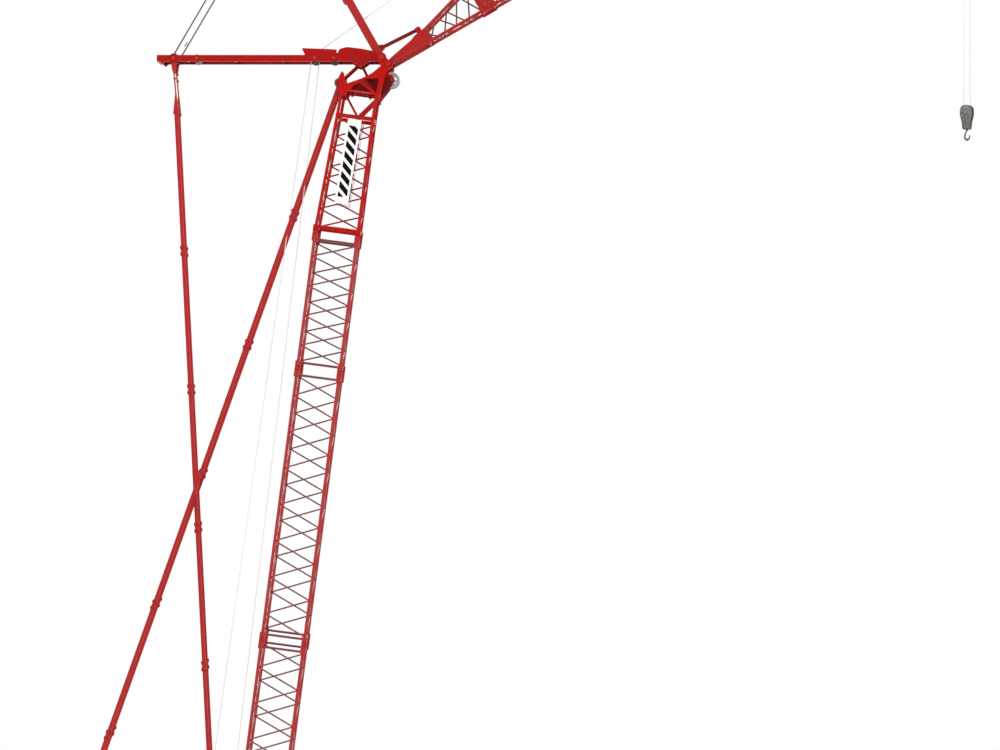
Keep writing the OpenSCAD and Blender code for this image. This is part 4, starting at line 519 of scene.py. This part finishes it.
def printed_board(name):
    """Stove-enamelled white board with screen-printed black hazard bars.

    It gives a bright satin white. The bars are slanted, lie in a band 8.4 by 63 mm along the
    board, and are the same on both faces.
    """
    material, node, place = start_material(name)
    low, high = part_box("sign_plate")
    lean = bpy.context.scene.crane_paint.boom_lean + math.radians(1.9)
    x, _, z = leaning_axes(node, place, (low + high) / 2, lean)
    # Bars repeat every 9 mm of the board's length and climb 0.9 mm for each mm across
    climb = node("ShaderNodeMath", {"operation": "MULTIPLY_ADD", 1: 0.9}, {0: x, 2: z})
    turns = node("ShaderNodeMath", {"operation": "DIVIDE", 1: 0.009}, {0: climb})
    part = node("ShaderNodeMath", {"operation": "FRACT"}, {0: turns})
    bar = node("ShaderNodeMath", {"operation": "LESS_THAN", 1: 0.62}, {0: part})
    wide = node("ShaderNodeMath", {"operation": "COMPARE", 1: 0.0, 2: 0.0042}, {0: x})
    long = node("ShaderNodeMath", {"operation": "COMPARE", 1: 0.0, 2: 0.0315}, {0: z})
    band = node("ShaderNodeMath", {"operation": "MULTIPLY"}, {0: wide, 1: long})
    ink = node("ShaderNodeMath", {"operation": "MULTIPLY"}, {0: band, 1: bar})
    cloud = node("ShaderNodeTexNoise", {"Scale": 1 / 0.01}, {"Vector": place})
    white = node(
        "ShaderNodeMix",
        {"data_type": "RGBA", 6: linear("#fcfcfb"), 7: linear("#f6f6f4")},
        {0: cloud},
    ).outputs[2]
    face = node(
        "ShaderNodeMix", {"data_type": "RGBA", 7: linear("#020202")}, {0: ink, 6: white}
    ).outputs[2]
    dull = node("ShaderNodeMapRange", {"To Min": 0.35, "To Max": 0.8}, {"Value": ink})
    relief = node("ShaderNodeBump", {"Distance": 0.03 * MM, "Strength": 0.3}, {"Height": ink})
    end_material(
        node,
        {"Specular IOR Level": 0.12},
        {"Base Color": face, "Roughness": dull, "Normal": relief},
    )
    return material


MATERIALS = {}


def make_materials():
    """Makes all materials, by their key."""
    s = bpy.context.scene.crane_paint
    plates = (s.red, "#a60a05")
    tubes = (s.chord_red, "#991311")
    lay = math.radians(70)
    MATERIALS.update(
        red_paint=gloss_enamel("gloss_enamel_red", *plates),
        tube_red=gloss_enamel("gloss_enamel_tube_red", *tubes, 0.35),
        # Painted shade on the lacing of the boom and jib, in the lacing colours
        boom_red=gloss_enamel("gloss_enamel_boom", *tubes, 0.5, (boom_chords, s.lacing)),
        jib_red=gloss_enamel("gloss_enamel_jib", *tubes, 0.25, (jib_chords, s.jib_lacing)),
        # Painted shade: the beams' inner sides, within 12.2 mm of the middle, are a darker red
        mast_red=gloss_enamel(
            "gloss_enamel_mast", "#ac0e09", "#990a06", shade=(mast_painted_shade_mask, "#84120f")
        ),
        # Painted shade in the head's box, lacing and window bars, in a dark red
        head_red=gloss_enamel("gloss_enamel_head", *plates, shade=(head_painted_shade_mask, "#700e08")),
        dark_red_paint=gloss_enamel("satin_enamel_dark_red", "#8a1416", "#6a0f11"),
        red_steel=gloss_enamel("gloss_enamel_pin_red", "#b01013", "#8c0c0f", 0.35),
        deck_red=tread_plate("enamelled_chequer_plate", s.red, "#a00a06"),
        weight_red=cast_iron("painted_cast_iron", "#bb1113", "#9e0e10"),
        grey_paint=blackened_steel("blackened_steel", "#55534f", "#85837c"),
        block_steel=blackened_steel("phosphated_steel", "#4b4a47", "#7d7b75", 0.3),
        mast_rollers=blackened_steel(
            "blackened_steel_mast", "#4e4341", "#6f6562", 0.4, (mast_shaft_ends, "#b01013")
        ),
        steel=turned_steel("zinc_plated_steel", "#77777b", "#a9a9ad"),
        sheave_steel=turned_steel("zinc_plated_sheave", "#98939a", "#cdcad0"),
        track_black=moulded_abs("moulded_abs_black", "#1d1c1b", "#2f2e2c"),
        seat_black=moulded_abs("moulded_abs_seat", "#262628", "#3a3a3c", 0.65),
        glass=clear_styrene("clear_polystyrene"),
        white_board=printed_board("enamelled_board"),
        rope_light=twisted_thread("twisted_polyester_pale", "#ffffff", "#ecece8", lay),
        rope_dark=twisted_thread("twisted_polyester_dark", "#6c6c6c", "#464646", lay),
    )


def dress(obj, key):
    """Gives an object one material."""
    obj.data.materials.clear()
    obj.data.materials.append(MATERIALS[key])


# Finishes that differ from a node's slot, and the nodes that have them
FINISHES = {
    "boom_red": ("boom_foot", "boom_section_lower", "boom_section_middle", "boom_section_upper"),
    "head_red": ("boom_head",),
    "mast_red": ("rear_mast",),
    "jib_red": ("jib_foot", "jib_section_long", "jib_section_short", "jib_head"),
    "tube_red": ("boom_stays", "jib_stays", "rear_stays", "rear_mast_links", "front_mast"),
    "deck_red": ("turntable_deck",),
    "mast_rollers": ("rear_mast_sheaves",),
    "sheave_steel": ("head_sheave_front", "jib_head_sheave"),
}
FINISH_OF = {name: key for key, names in FINISHES.items() for name in names}


# ------------------------------------------------------------------ modelling


def point(x, y, z, origin=(0, 0, 0)):
    """The point x, y, z millimetres from an origin, in metres."""
    return Vector([start + way * MM for start, way in zip(origin, (x, y, z))])


def fresh():
    """Leaves edit mode and deselects everything, ready for a new piece."""
    if bpy.context.object and bpy.context.object.mode != "OBJECT":
        bpy.ops.object.mode_set(mode="OBJECT")
    bpy.ops.object.select_all(action="DESELECT")


def only(obj):
    """Makes one object the only selected and the active one."""
    fresh()
    obj.select_set(True)
    bpy.context.view_layer.objects.active = obj


def edit(obj):
    """Opens one object in edit mode, with everything selected."""
    only(obj)
    bpy.ops.object.mode_set(mode="EDIT")
    bpy.ops.mesh.select_all(action="SELECT")


def round_edges(obj, width, segments=2):
    """Rounds the sharp edges of the active object."""
    rounding = obj.modifiers.new("edges", "BEVEL")
    rounding.width = width
    rounding.segments = segments
    rounding.limit_method = "ANGLE"
    bpy.ops.object.modifier_apply(modifier="edges")


def block(name, low, high, edge):
    """A box between two corners, in metres, with its edges rounded."""
    fresh()
    low, high = Vector(low), Vector(high)
    bpy.ops.mesh.primitive_cube_add(size=1, location=(low + high) / 2, scale=high - low)
    obj = bpy.context.object
    obj.name = name
    bpy.ops.object.transform_apply()
    round_edges(obj, edge)
    return obj


def rod(name, start, end, radius, sides=16, edge=0.0):
    """A round bar between two points, in metres, with its rims rounded."""
    fresh()
    start, end = Vector(start), Vector(end)
    along = end - start
    bpy.ops.mesh.primitive_cylinder_add(
        vertices=sides, radius=radius, depth=along.length, location=(start + end) / 2,
        rotation=along.to_track_quat("Z", "Y").to_euler(),
    )
    obj = bpy.context.object
    obj.name = name
    bpy.ops.object.transform_apply()
    if edge:
        round_edges(obj, edge)
    return obj


def pick_faces(obj, test):
    """In edit mode, selects the faces that pass a test, and no others."""
    bpy.ops.mesh.select_mode(type="FACE")
    mesh = bmesh.from_edit_mesh(obj.data)
    for face in mesh.faces:
        face.select_set(test(face))
    mesh.select_flush_mode()
    bmesh.update_edit_mesh(obj.data)


def sink_panel(obj, normal, margin, depth):
    """Insets the largest face that looks along normal, and pushes it in."""
    only(obj)
    bpy.ops.object.mode_set(mode="EDIT")
    way = Vector(normal)
    largest = max((p.area for p in obj.data.polygons if p.normal.dot(way) > 0.99), default=0)
    pick_faces(obj, lambda f: f.normal.dot(way) > 0.99 and f.calc_area() > 0.9 * largest)
    bpy.ops.mesh.inset(thickness=margin)
    bpy.ops.transform.translate(value=-way * depth)
    bpy.ops.object.mode_set(mode="OBJECT")


def row(obj, count, step):
    """Repeats a piece along a line as one mesh."""
    only(obj)
    array = obj.modifiers.new("row", "ARRAY")
    array.count = count
    array.use_relative_offset = False
    array.use_constant_offset = True
    array.constant_offset_displace = step
    bpy.ops.object.modifier_apply(modifier="row")


def join(name, pieces):
    """Joins pieces into one object."""
    fresh()
    for piece in pieces:
        piece.select_set(True)
    bpy.context.view_layer.objects.active = pieces[0]
    if len(pieces) > 1:
        bpy.ops.object.join()
    pieces[0].name = name
    return pieces[0]


def finish(obj, key, body):
    """Smooths, paints and hangs a finished piece on its body."""
    only(obj)
    bpy.ops.object.shade_smooth_by_angle(angle=math.radians(40))
    dress(obj, key)
    if body:
        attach(obj, body)


def taut_rope(name, node):
    """A rope that stands for a CAD node: a copy of its mesh, with doubled points merged and painted
    by its slot, in place of the hidden node.
    """
    obj = bpy.data.objects.new(name, frame["nodes"][node].data.copy())
    bpy.context.scene.collection.objects.link(obj)
    edit(obj)
    bpy.ops.mesh.remove_doubles(threshold=0.002 * MM)
    bpy.ops.object.mode_set(mode="OBJECT")
    finish(obj, SLOT_OF[node], None)
    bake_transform(obj)
    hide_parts(node)


# ------------------------------------------------------------------ operators


class CRANE_OT_stage(bpy.types.Operator):
    """Camera, floor, soft lamps and a white background"""

    bl_idname = "crane.stage"
    bl_label = "Stage"

    def execute(self, context):
        s = context.scene.crane_stage
        scene = context.scene
        data = bpy.data.cameras.new("camera")
        data.lens = s.lens
        data.sensor_width = 36
        data.shift_y = s.rise
        data.clip_end = 50
        camera = bpy.data.objects.new("camera", data)
        camera.location = (s.camera_x, -s.camera_distance, s.camera_height)
        camera.rotation_euler = (math.pi / 2, 0, 0)
        scene.collection.objects.link(camera)
        scene.camera = camera

        fresh()
        bpy.ops.mesh.primitive_circle_add(
            vertices=96, radius=s.floor_radius, fill_type="NGON", location=(0.28, 0, -0.0002)
        )
        floor = context.object
        floor.name = "floor"
        # Matt painted board: it gives a pale plain ground, barely mottled
        material, node, place = start_material("pale_painted_floor")
        mottle = node("ShaderNodeTexNoise", {"Scale": 1 / 0.04}, {"Vector": place})
        dull = node("ShaderNodeMapRange", {"To Min": 0.5, "To Max": 0.7}, {"Value": mottle})
        end_material(node, {"Base Color": linear("#ecebe9")}, {"Roughness": dull})
        floor.data.materials.append(material)

        # Lamps: name, width and height in metres, watts and place, all turned to the boom's middle
        middle = Vector((0.2, 0, 0.7))
        for name, size, power, place in (
            ("key", (1.6, 2.0), 60, (-1.7, -2.1, 2.5)),
            ("fill", (2.0, 2.0), 22, (2.4, -1.8, 1.2)),
            ("rim", (1.6, 1.6), 26, (0.8, 2.4, 2.2)),
        ):
            light = bpy.data.lights.new(name, "AREA")
            light.shape = "RECTANGLE"
            light.size, light.size_y = size
            light.energy = power
            obj = bpy.data.objects.new(name, light)
            obj.location = place
            obj.rotation_euler = (middle - Vector(place)).to_track_quat("-Z", "Y").to_euler()
            scene.collection.objects.link(obj)

        # White where it is seen or mirrored, and dimmer where it only lights the crane
        world = bpy.data.worlds.new("white_room")
        scene.world = world
        world.use_nodes = True
        world.node_tree.nodes.clear()
        node = partial(add, world.node_tree)
        path = node("ShaderNodeLightPath")
        seen = path.outputs["Is Camera Ray"]
        for ray in ("Is Glossy Ray", "Is Transmission Ray"):
            seen = node("ShaderNodeMath", {"operation": "MAXIMUM"}, {0: seen, 1: path.outputs[ray]})
        ambient = node("ShaderNodeBackground", {"Color": linear("#fbf9f6"), "Strength": 0.5})
        white = node("ShaderNodeBackground", {"Color": (1, 1, 1, 1), "Strength": 1.0})
        mixed = node("ShaderNodeMixShader", links={0: seen, 1: ambient, 2: white})
        node("ShaderNodeOutputWorld", links={"Surface": mixed})
        scene.view_settings.view_transform = "Standard"
        return {"FINISHED"}


class CRANE_OT_paint(bpy.types.Operator):
    """Paint, metal, plastic or thread for each part of the crane"""

    bl_idname = "crane.paint"
    bl_label = "Paint"

    def execute(self, context):
        make_materials()
        for name, obj in frame["nodes"].items():
            dress(obj, FINISH_OF.get(name, SLOT_OF[name]))
        return {"FINISHED"}


class CRANE_OT_ropes(bpy.types.Operator):
    """Hoist, luffing and gantry ropes, copied from their CAD nodes"""

    bl_idname = "crane.ropes"
    bl_label = "Ropes"

    def execute(self, context):
        taut_rope(
            "hoist_ropes", "hoist_ropes_boom",
        )
        taut_rope(
            "gantry_ropes", "a_frame_reeving",
        )
        taut_rope(
            "mast_ropes", "luffing_ropes",
        )
        taut_rope(
            "jib_hoist_rope", "hoist_rope_jib",
        )
        taut_rope(
            "hook_ropes", "hook_falls",
        )
        return {"FINISHED"}


class CRANE_OT_windings(bpy.types.Operator):
    """Rope wound on the three winch drums, turn beside turn"""

    bl_idname = "crane.windings"
    bl_label = "Windings"

    def execute(self, context):
        # Name, joint, body, radius, place of the first turn, number of turns and their step in mm
        for name, joint, body, radius, start, count, step in (
            ("winding_front", "hoist_front_spin", "drum_front", 7.45, -5.9, 14, -0.86),
            ("winding_rear", "hoist_rear_spin", "drum_rear", 7.45, 5.9, 14, 0.86),
            ("winding_luffing", "luffing_spin", "drum_luffing", 5.95, -12.0, 28, 0.86),
        ):
            fresh()
            bpy.ops.mesh.primitive_torus_add(
                major_segments=40, minor_segments=8, major_radius=radius * MM,
                minor_radius=0.42 * MM, location=point(0, start, 0, PLACE_OF[joint]),
                rotation=(math.pi / 2, 0, 0),
            )
            winding = context.object
            winding.name = name
            bpy.ops.object.transform_apply()
            row(winding, count, (0, step * MM, 0))
            finish(winding, "rope_light", body)
        return {"FINISHED"}


class CRANE_OT_hook_block(bpy.types.Operator):
    """Hook block with pear-shaped side plates, its pin, bolts and crosshead"""

    bl_idname = "crane.hook_block"
    bl_label = "Hook block"

    def execute(self, context):
        s = context.scene.crane_fittings
        # Half widths of a side plate, at places down from its top, in mm
        outline = (
            (2.2, 0.0), (3.3, -0.5), (4.4, -1.6), (5.15, -3.2), (5.45, -5.2), (5.45, -7.6),
            (5.1, -10.0), (4.5, -12.4), (3.85, -14.6), (3.5, -16.8), (3.35, -19.4), (3.1, -21.0),
            (2.4, -21.6),
        )
        ring = [*outline, *((-half, z) for half, z in reversed(outline))]
        half_gap = 1.6
        pieces = []
        for side in (-1, 1):
            fresh()
            bpy.ops.mesh.primitive_circle_add(vertices=len(ring), radius=5 * MM, fill_type="NGON")
            plate = context.object
            for vertex, (x, z) in zip(plate.data.vertices, ring):
                vertex.co = point(x, side * half_gap, z)
            edit(plate)
            bpy.ops.mesh.extrude_region_move(
                TRANSFORM_OT_translate={"value": (0, side * s.cheek, 0)}
            )
            bpy.ops.mesh.select_all(action="SELECT")
            bpy.ops.mesh.normals_make_consistent(inside=False)
            bpy.ops.object.mode_set(mode="OBJECT")
            round_edges(plate, 0.45 * MM, 3)
            pieces.append(plate)
        pieces.append(rod("pin", point(0, -4.4, -8), point(0, 4.4, -8), 1.7 * MM, 24, 0.3 * MM))
        for x in (-2.4, 2.4):
            pieces.append(
                rod("bolt", point(x, -4.2, -15.4), point(x, 4.2, -15.4), 0.8 * MM, 12, 0.2 * MM)
            )
        low, high = point(-2.8, -2.4, -21.6), point(2.8, 2.4, -17.8)
        pieces.append(block("crosshead", low, high, 0.5 * MM))
        body = join("hook_block_body", pieces)
        top = Vector((PLACE_OF["hook_turn"].x, 0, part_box("hook_block")[1].z))
        body.data.transform(Matrix.Translation(top) @ Matrix.Rotation(s.block_turn, 4, "Z"))
        finish(body, "block_steel", "block")
        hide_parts("hook_block")
        return {"FINISHED"}


class CRANE_OT_hook(bpy.types.Operator):
    """Forged hook that thickens towards its bowl, on a collared shank"""

    bl_idname = "crane.hook"
    bl_label = "Hook"

    def execute(self, context):
        # Centre line of the hook and its half thickness, in mm from the foot of the block
        line = (
            (0, 2.0, 0.55), (0, 0.2, 0.55), (-0.3, -1.6, 0.6), (-1.4, -3.5, 0.7),
            (-2.1, -5.9, 0.85), (-1.5, -8.0, 0.95), (0.2, -9.0, 1.0), (1.8, -8.1, 0.85),
            (2.4, -6.3, 0.65), (2.3, -4.6, 0.4),
        )
        fresh()
        bpy.ops.curve.primitive_nurbs_path_add()
        hook = context.object
        spline = hook.data.splines[0]
        spline.points.add(len(line) - len(spline.points))
        for knot, (x, z, thick) in zip(spline.points, line):
            knot.co = (x * MM, 0, z * MM, 1)
            knot.radius = thick
        spline.order_u = 3
        spline.use_endpoint_u = True
        spline.resolution_u = 8
        hook.data.dimensions = "3D"
        hook.data.bevel_depth = 1 * MM
        hook.data.bevel_resolution = 4
        hook.data.use_fill_caps = True
        bpy.ops.object.convert(target="MESH")
        edit(hook)
        bpy.ops.mesh.remove_doubles(threshold=0.01 * MM)
        bpy.ops.mesh.normals_make_consistent(inside=False)
        bpy.ops.object.mode_set(mode="OBJECT")
        collar = rod("collar", point(0, 0, -1), point(0, 0, 0.6), 1.2 * MM, 16, 0.2 * MM)
        body = join("forged_hook", [hook, collar])
        body.data.transform(Matrix.Translation(PLACE_OF["hook_turn"]))
        finish(body, "block_steel", "hook_body")
        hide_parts("hook")
        return {"FINISHED"}


class CRANE_OT_rope_clips(bpy.types.Operator):
    """Clamp on the luffing ropes, and the round lugs of the rear mast's tip"""

    bl_idname = "crane.rope_clips"
    bl_label = "Rope clips and mast lugs"

    def execute(self, context):
        low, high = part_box("luffing_ropes")
        # Ends of the right-hand ropes' centre line
        foot, top = point(6.04, 2, 0.2, low), point(-0.35, -2, -3.5, high)
        way = (top - foot).normalized()
        turn = way.to_track_quat("Z", "Y").to_matrix().to_4x4()
        # A short bar beside the ropes, held by a thin bolt, 16.8 mm up them
        clip = join("rope_clip", [
            rod("bar", point(0, 2.1, -2.5), point(0, 2.1, 2.5), 0.6 * MM, 12, 0.15 * MM),
            rod("bolt", point(0, 2.1, 0), point(0, -0.3, 0), 0.16 * MM, 8, 0.03 * MM),
            rod("cross_bar", point(-1.8, -0.3, 0), point(1.8, -0.3, 0), 0.2 * MM, 8, 0.04 * MM),
        ])
        clip.data.transform(Matrix.Translation(foot + way * 0.0168) @ turn)
        finish(clip, "steel", "boom")
        # Round lugs on the mast's tip shaft, just inside its beams
        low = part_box("rear_mast_sheaves")[0]
        at = partial(point, origin=(low.x, 0, low.z))
        lugs = [
            rod("lug", at(3.8, side * 9.9, 4.1), at(3.8, side * 11.1, 4.1), 4.6 * MM, 36, 0.3 * MM)
            for side in (-1, 1)
        ]
        finish(join("mast_tip_lugs", lugs), "dark_red_paint", "boom")
        return {"FINISHED"}


class CRANE_OT_splice_blocks(bpy.types.Operator):
    """Solid end posts of the jib sections, with a sunk panel in each face"""

    bl_idname = "crane.splice_blocks"
    bl_label = "Jib end posts"

    def execute(self, context):
        posts = []
        half_width = 0.0155
        jib = Matrix.Translation(JIB_PIN) @ Matrix.Rotation(-JIB_RISE, 4, "Y")
        # The joints' distances from the jib's pin, each with a post before it and one after
        for joint in (0.102, 0.342, 0.462):
            for start, end in ((-4.6, -0.6), (0.6, 4.6)):
                for side in (-1, 1):
                    post = block("post", point(start, -0.7, 1.8), point(end, 0.7, 24.7), 0.2 * MM)
                    sink_panel(post, (0, side, 0), 0.8 * MM, 0.3 * MM)
                    post.data.transform(jib @ Matrix.Translation((joint, side * half_width, 0)))
                    posts.append(post)
        finish(join("jib_end_posts", posts), "tube_red", "jib")
        return {"FINISHED"}


class CRANE_OT_house(bpy.types.Operator):
    """Doors, handles and louvres of the engine house"""

    bl_idname = "crane.house"
    bl_label = "Engine house fittings"

    def execute(self, context):
        s = context.scene.crane_fittings
        low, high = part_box("engine_house")
        # From the rear foot of the side wall: along it, out of it and up
        wall = partial(point, origin=(low.x, high.y, low.z))
        doors = []
        for start, end in ((48.6, 63.6), (64.8, 79.6), (80.8, 90.8)):
            leaf = block("door", wall(start, -0.2, 2.6), wall(end, s.plate / MM, 23.6), 0.2 * MM)
            sink_panel(leaf, (0, 1, 0), 1.2 * MM, 0.25 * MM)
            doors.append(leaf)
        finish(join("house_doors", doors), "red_paint", "superstructure")
        handles = []
        for x in (61.4, 77.4, 88.8):
            for z in (9, 17):
                handles += [
                    rod("handle", wall(x, 1.2, z), wall(x, 1.2, z + 2.4), 0.35 * MM, 12, 0.1 * MM),
                    block(
                        "handle_plate", wall(x - 0.5, -0.1, z - 0.2), wall(x + 0.5, 0.9, z + 2.6),
                        0.15 * MM,
                    ),
                ]
        finish(join("house_handles", handles), "steel", "superstructure")
        frames = []
        for start in (9.2, 27.4):
            slat = block("slat", wall(start, -0.6, 6.6), wall(start + 16, 1, 7.1), 0.1 * MM)
            edit(slat)
            bpy.ops.transform.rotate(
                value=math.radians(32), orient_axis="X", center_override=wall(0, 0, 6.8)
            )
            bpy.ops.object.mode_set(mode="OBJECT")
            row(slat, 7, (0, 0, s.slat_pitch))
            frames.append(slat)
            for x in (start - 0.7, start + 16):
                frames.append(
                    block("louvre_side", wall(x, -0.1, 5.2), wall(x + 0.7, 0.9, 23.6), 0.15 * MM)
                )
        finish(join("house_louvres", frames), "red_paint", "superstructure")
        return {"FINISHED"}


class CRANE_OT_cab(bpy.types.Operator):
    """Seat, stands and levers, door with hinges, rails, mirror, wiper and work lamps of the cab"""

    bl_idname = "crane.cab"
    bl_label = "Cab fittings"

    def execute(self, context):
        low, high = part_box("cab_shell")
        middle = (low.y + high.y) / 2
        # From the rear: inside from the middle of the floor, side from the foot of the door side,
        # and roof from the middle of the roof
        inside = partial(point, origin=(low.x, middle, low.z))
        side = partial(point, origin=low)
        roof = partial(point, origin=(low.x, middle, high.z))
        seat = [
            block("seat", inside(7, -3.6, 10), inside(15, 3.6, 12.6), 0.8 * MM),
            block("seat_back", inside(5.2, -3.4, 11.8), inside(7.6, 3.4, 22.5), 0.8 * MM),
            block("head_rest", inside(5.3, -1.7, 23.2), inside(7.1, 1.7, 25.8), 0.6 * MM),
            rod("seat_post", inside(10.8, 0, 1.6), inside(10.8, 0, 10.4), 1.1 * MM),
        ]
        for y in (-5.2, 5.2):
            seat += [
                block(
                    "control_stand", inside(8.5, y - 1.1, 1.6), inside(16.5, y + 1.1, 14.5),
                    0.5 * MM,
                ),
                rod("lever", inside(14.5, y, 14), inside(15, y, 17.8), 0.35 * MM, 12, 0.15 * MM),
            ]
        finish(join("cab_seat", seat), "seat_black", "superstructure")
        door = [
            block("door_edge", side(start, -0.4, bottom), side(end, 0.1, top), 0.15 * MM)
            for start, end, bottom, top in (
                (2.4, 3.0, 2.0, 32.6), (21.0, 21.6, 2.0, 32.6),
                (2.4, 21.6, 32.0, 32.6), (2.4, 21.6, 2.0, 2.6),
            )
        ]
        leaf = block("door_panel", side(3.6, -0.35, 3.4), side(20.4, 0.1, 13.8), 0.15 * MM)
        sink_panel(leaf, (0, -1, 0), 1.0 * MM, 0.2 * MM)
        door.append(leaf)
        for z in (6.5, 25.5):
            door.append(
                rod("hinge", side(2.2, -0.5, z), side(2.2, -0.5, z + 2.6), 0.5 * MM, 12, 0.12 * MM)
            )
        finish(join("cab_door", door), "red_paint", "superstructure")
        rails = [
            rod(
                "grab_rail", side(23.2, -1.4, 7.5), side(23.2, -1.4, 21.5), 0.35 * MM, 12, 0.1 * MM
            ),
            rod("rail_foot", side(23.2, 0.2, 8.1), side(23.2, -1.4, 8.1), 0.3 * MM, 10),
            rod("rail_foot", side(23.2, 0.2, 20.9), side(23.2, -1.4, 20.9), 0.3 * MM, 10),
            rod("door_handle", side(19, -1.1, 10.5), side(19, -1.1, 13.4), 0.4 * MM, 12, 0.12 * MM),
            rod("mirror_arm", side(26.2, 0.6, 27.2), side(29, -2.2, 26.8), 0.3 * MM, 10),
        ]
        finish(join("cab_rails", rails), "grey_paint", "superstructure")
        mirror = block("cab_mirror", side(28.5, -4.2, 22.2), side(29.6, -0.8, 28.8), 0.3 * MM)
        sink_panel(mirror, (-1, 0, 0), 0.4 * MM, 0.2 * MM)
        finish(mirror, "seat_black", "superstructure")
        # Wiper: a spindle, an arm along the screen and a blade across it, held away from the glass
        foot, tip = inside(30.4, 0, 12.8), inside(27, 2.2, 24.5)
        away = Vector((0.00100, 0, 0.00028))
        blade = partial(point, origin=tip + away * 0.6)
        wiper = [
            rod("wiper_arm", foot + away, tip + away, 0.25 * MM, 8),
            rod("wiper_spindle", foot - away, foot + away * 1.3, 0.5 * MM, 12, 0.15 * MM),
            rod("wiper_blade", blade(1.2, 1.2, -4.4), blade(-1.2, -0.6, 4.4), 0.25 * MM, 8),
        ]
        finish(join("cab_wiper", wiper), "seat_black", "superstructure")
        lamps = []
        for y in (-6, 6):
            lamp = rod("work_lamp", roof(20.5, y, 1.4), roof(23.6, y, 1.1), 1.2 * MM, 20, 0.25 * MM)
            sink_panel(lamp, (0.995, 0, -0.097), 0.3 * MM, 0.4 * MM)
            low, high = roof(21.4, y - 0.5, -0.3), roof(22.6, y + 0.5, 0.8)
            lamps += [lamp, block("lamp_foot", low, high, 0.15 * MM)]
        finish(join("work_lamps", lamps), "grey_paint", "superstructure")
        return {"FINISHED"}


class CRANE_PT_panel(bpy.types.Panel):
    bl_label = "Crane"
    bl_idname = "CRANE_PT_panel"
    bl_space_type = "VIEW_3D"
    bl_region_type = "UI"
    bl_category = "Crane"

    def draw(self, context):
        for operator in OPERATORS:
            self.layout.operator(operator.bl_idname)


OPERATORS = (
    CRANE_OT_stage,
    CRANE_OT_paint,
    CRANE_OT_ropes,
    CRANE_OT_windings,
    CRANE_OT_hook_block,
    CRANE_OT_hook,
    CRANE_OT_rope_clips,
    CRANE_OT_splice_blocks,
    CRANE_OT_house,
    CRANE_OT_cab,
)
SETTINGS = (CranePaintSettings, CraneFittingSettings, CraneStageSettings)
CLASSES = SETTINGS + OPERATORS + (CRANE_PT_panel,)


def register():
    for item in CLASSES:
        bpy.utils.register_class(item)
    bpy.types.Scene.crane_paint = bpy.props.PointerProperty(type=CranePaintSettings)
    bpy.types.Scene.crane_fittings = bpy.props.PointerProperty(type=CraneFittingSettings)
    bpy.types.Scene.crane_stage = bpy.props.PointerProperty(type=CraneStageSettings)


def unregister():
    del bpy.types.Scene.crane_stage
    del bpy.types.Scene.crane_fittings
    del bpy.types.Scene.crane_paint
    for item in reversed(CLASSES):
        bpy.utils.unregister_class(item)


def main():
    register()
    bpy.ops.crane.stage()
    bpy.ops.crane.paint()
    bpy.ops.crane.ropes()
    bpy.ops.crane.windings()
    bpy.ops.crane.hook_block()
    bpy.ops.crane.hook()
    bpy.ops.crane.rope_clips()
    bpy.ops.crane.splice_blocks()
    bpy.ops.crane.house()
    bpy.ops.crane.cab()


if __name__ == "__main__":
    main()
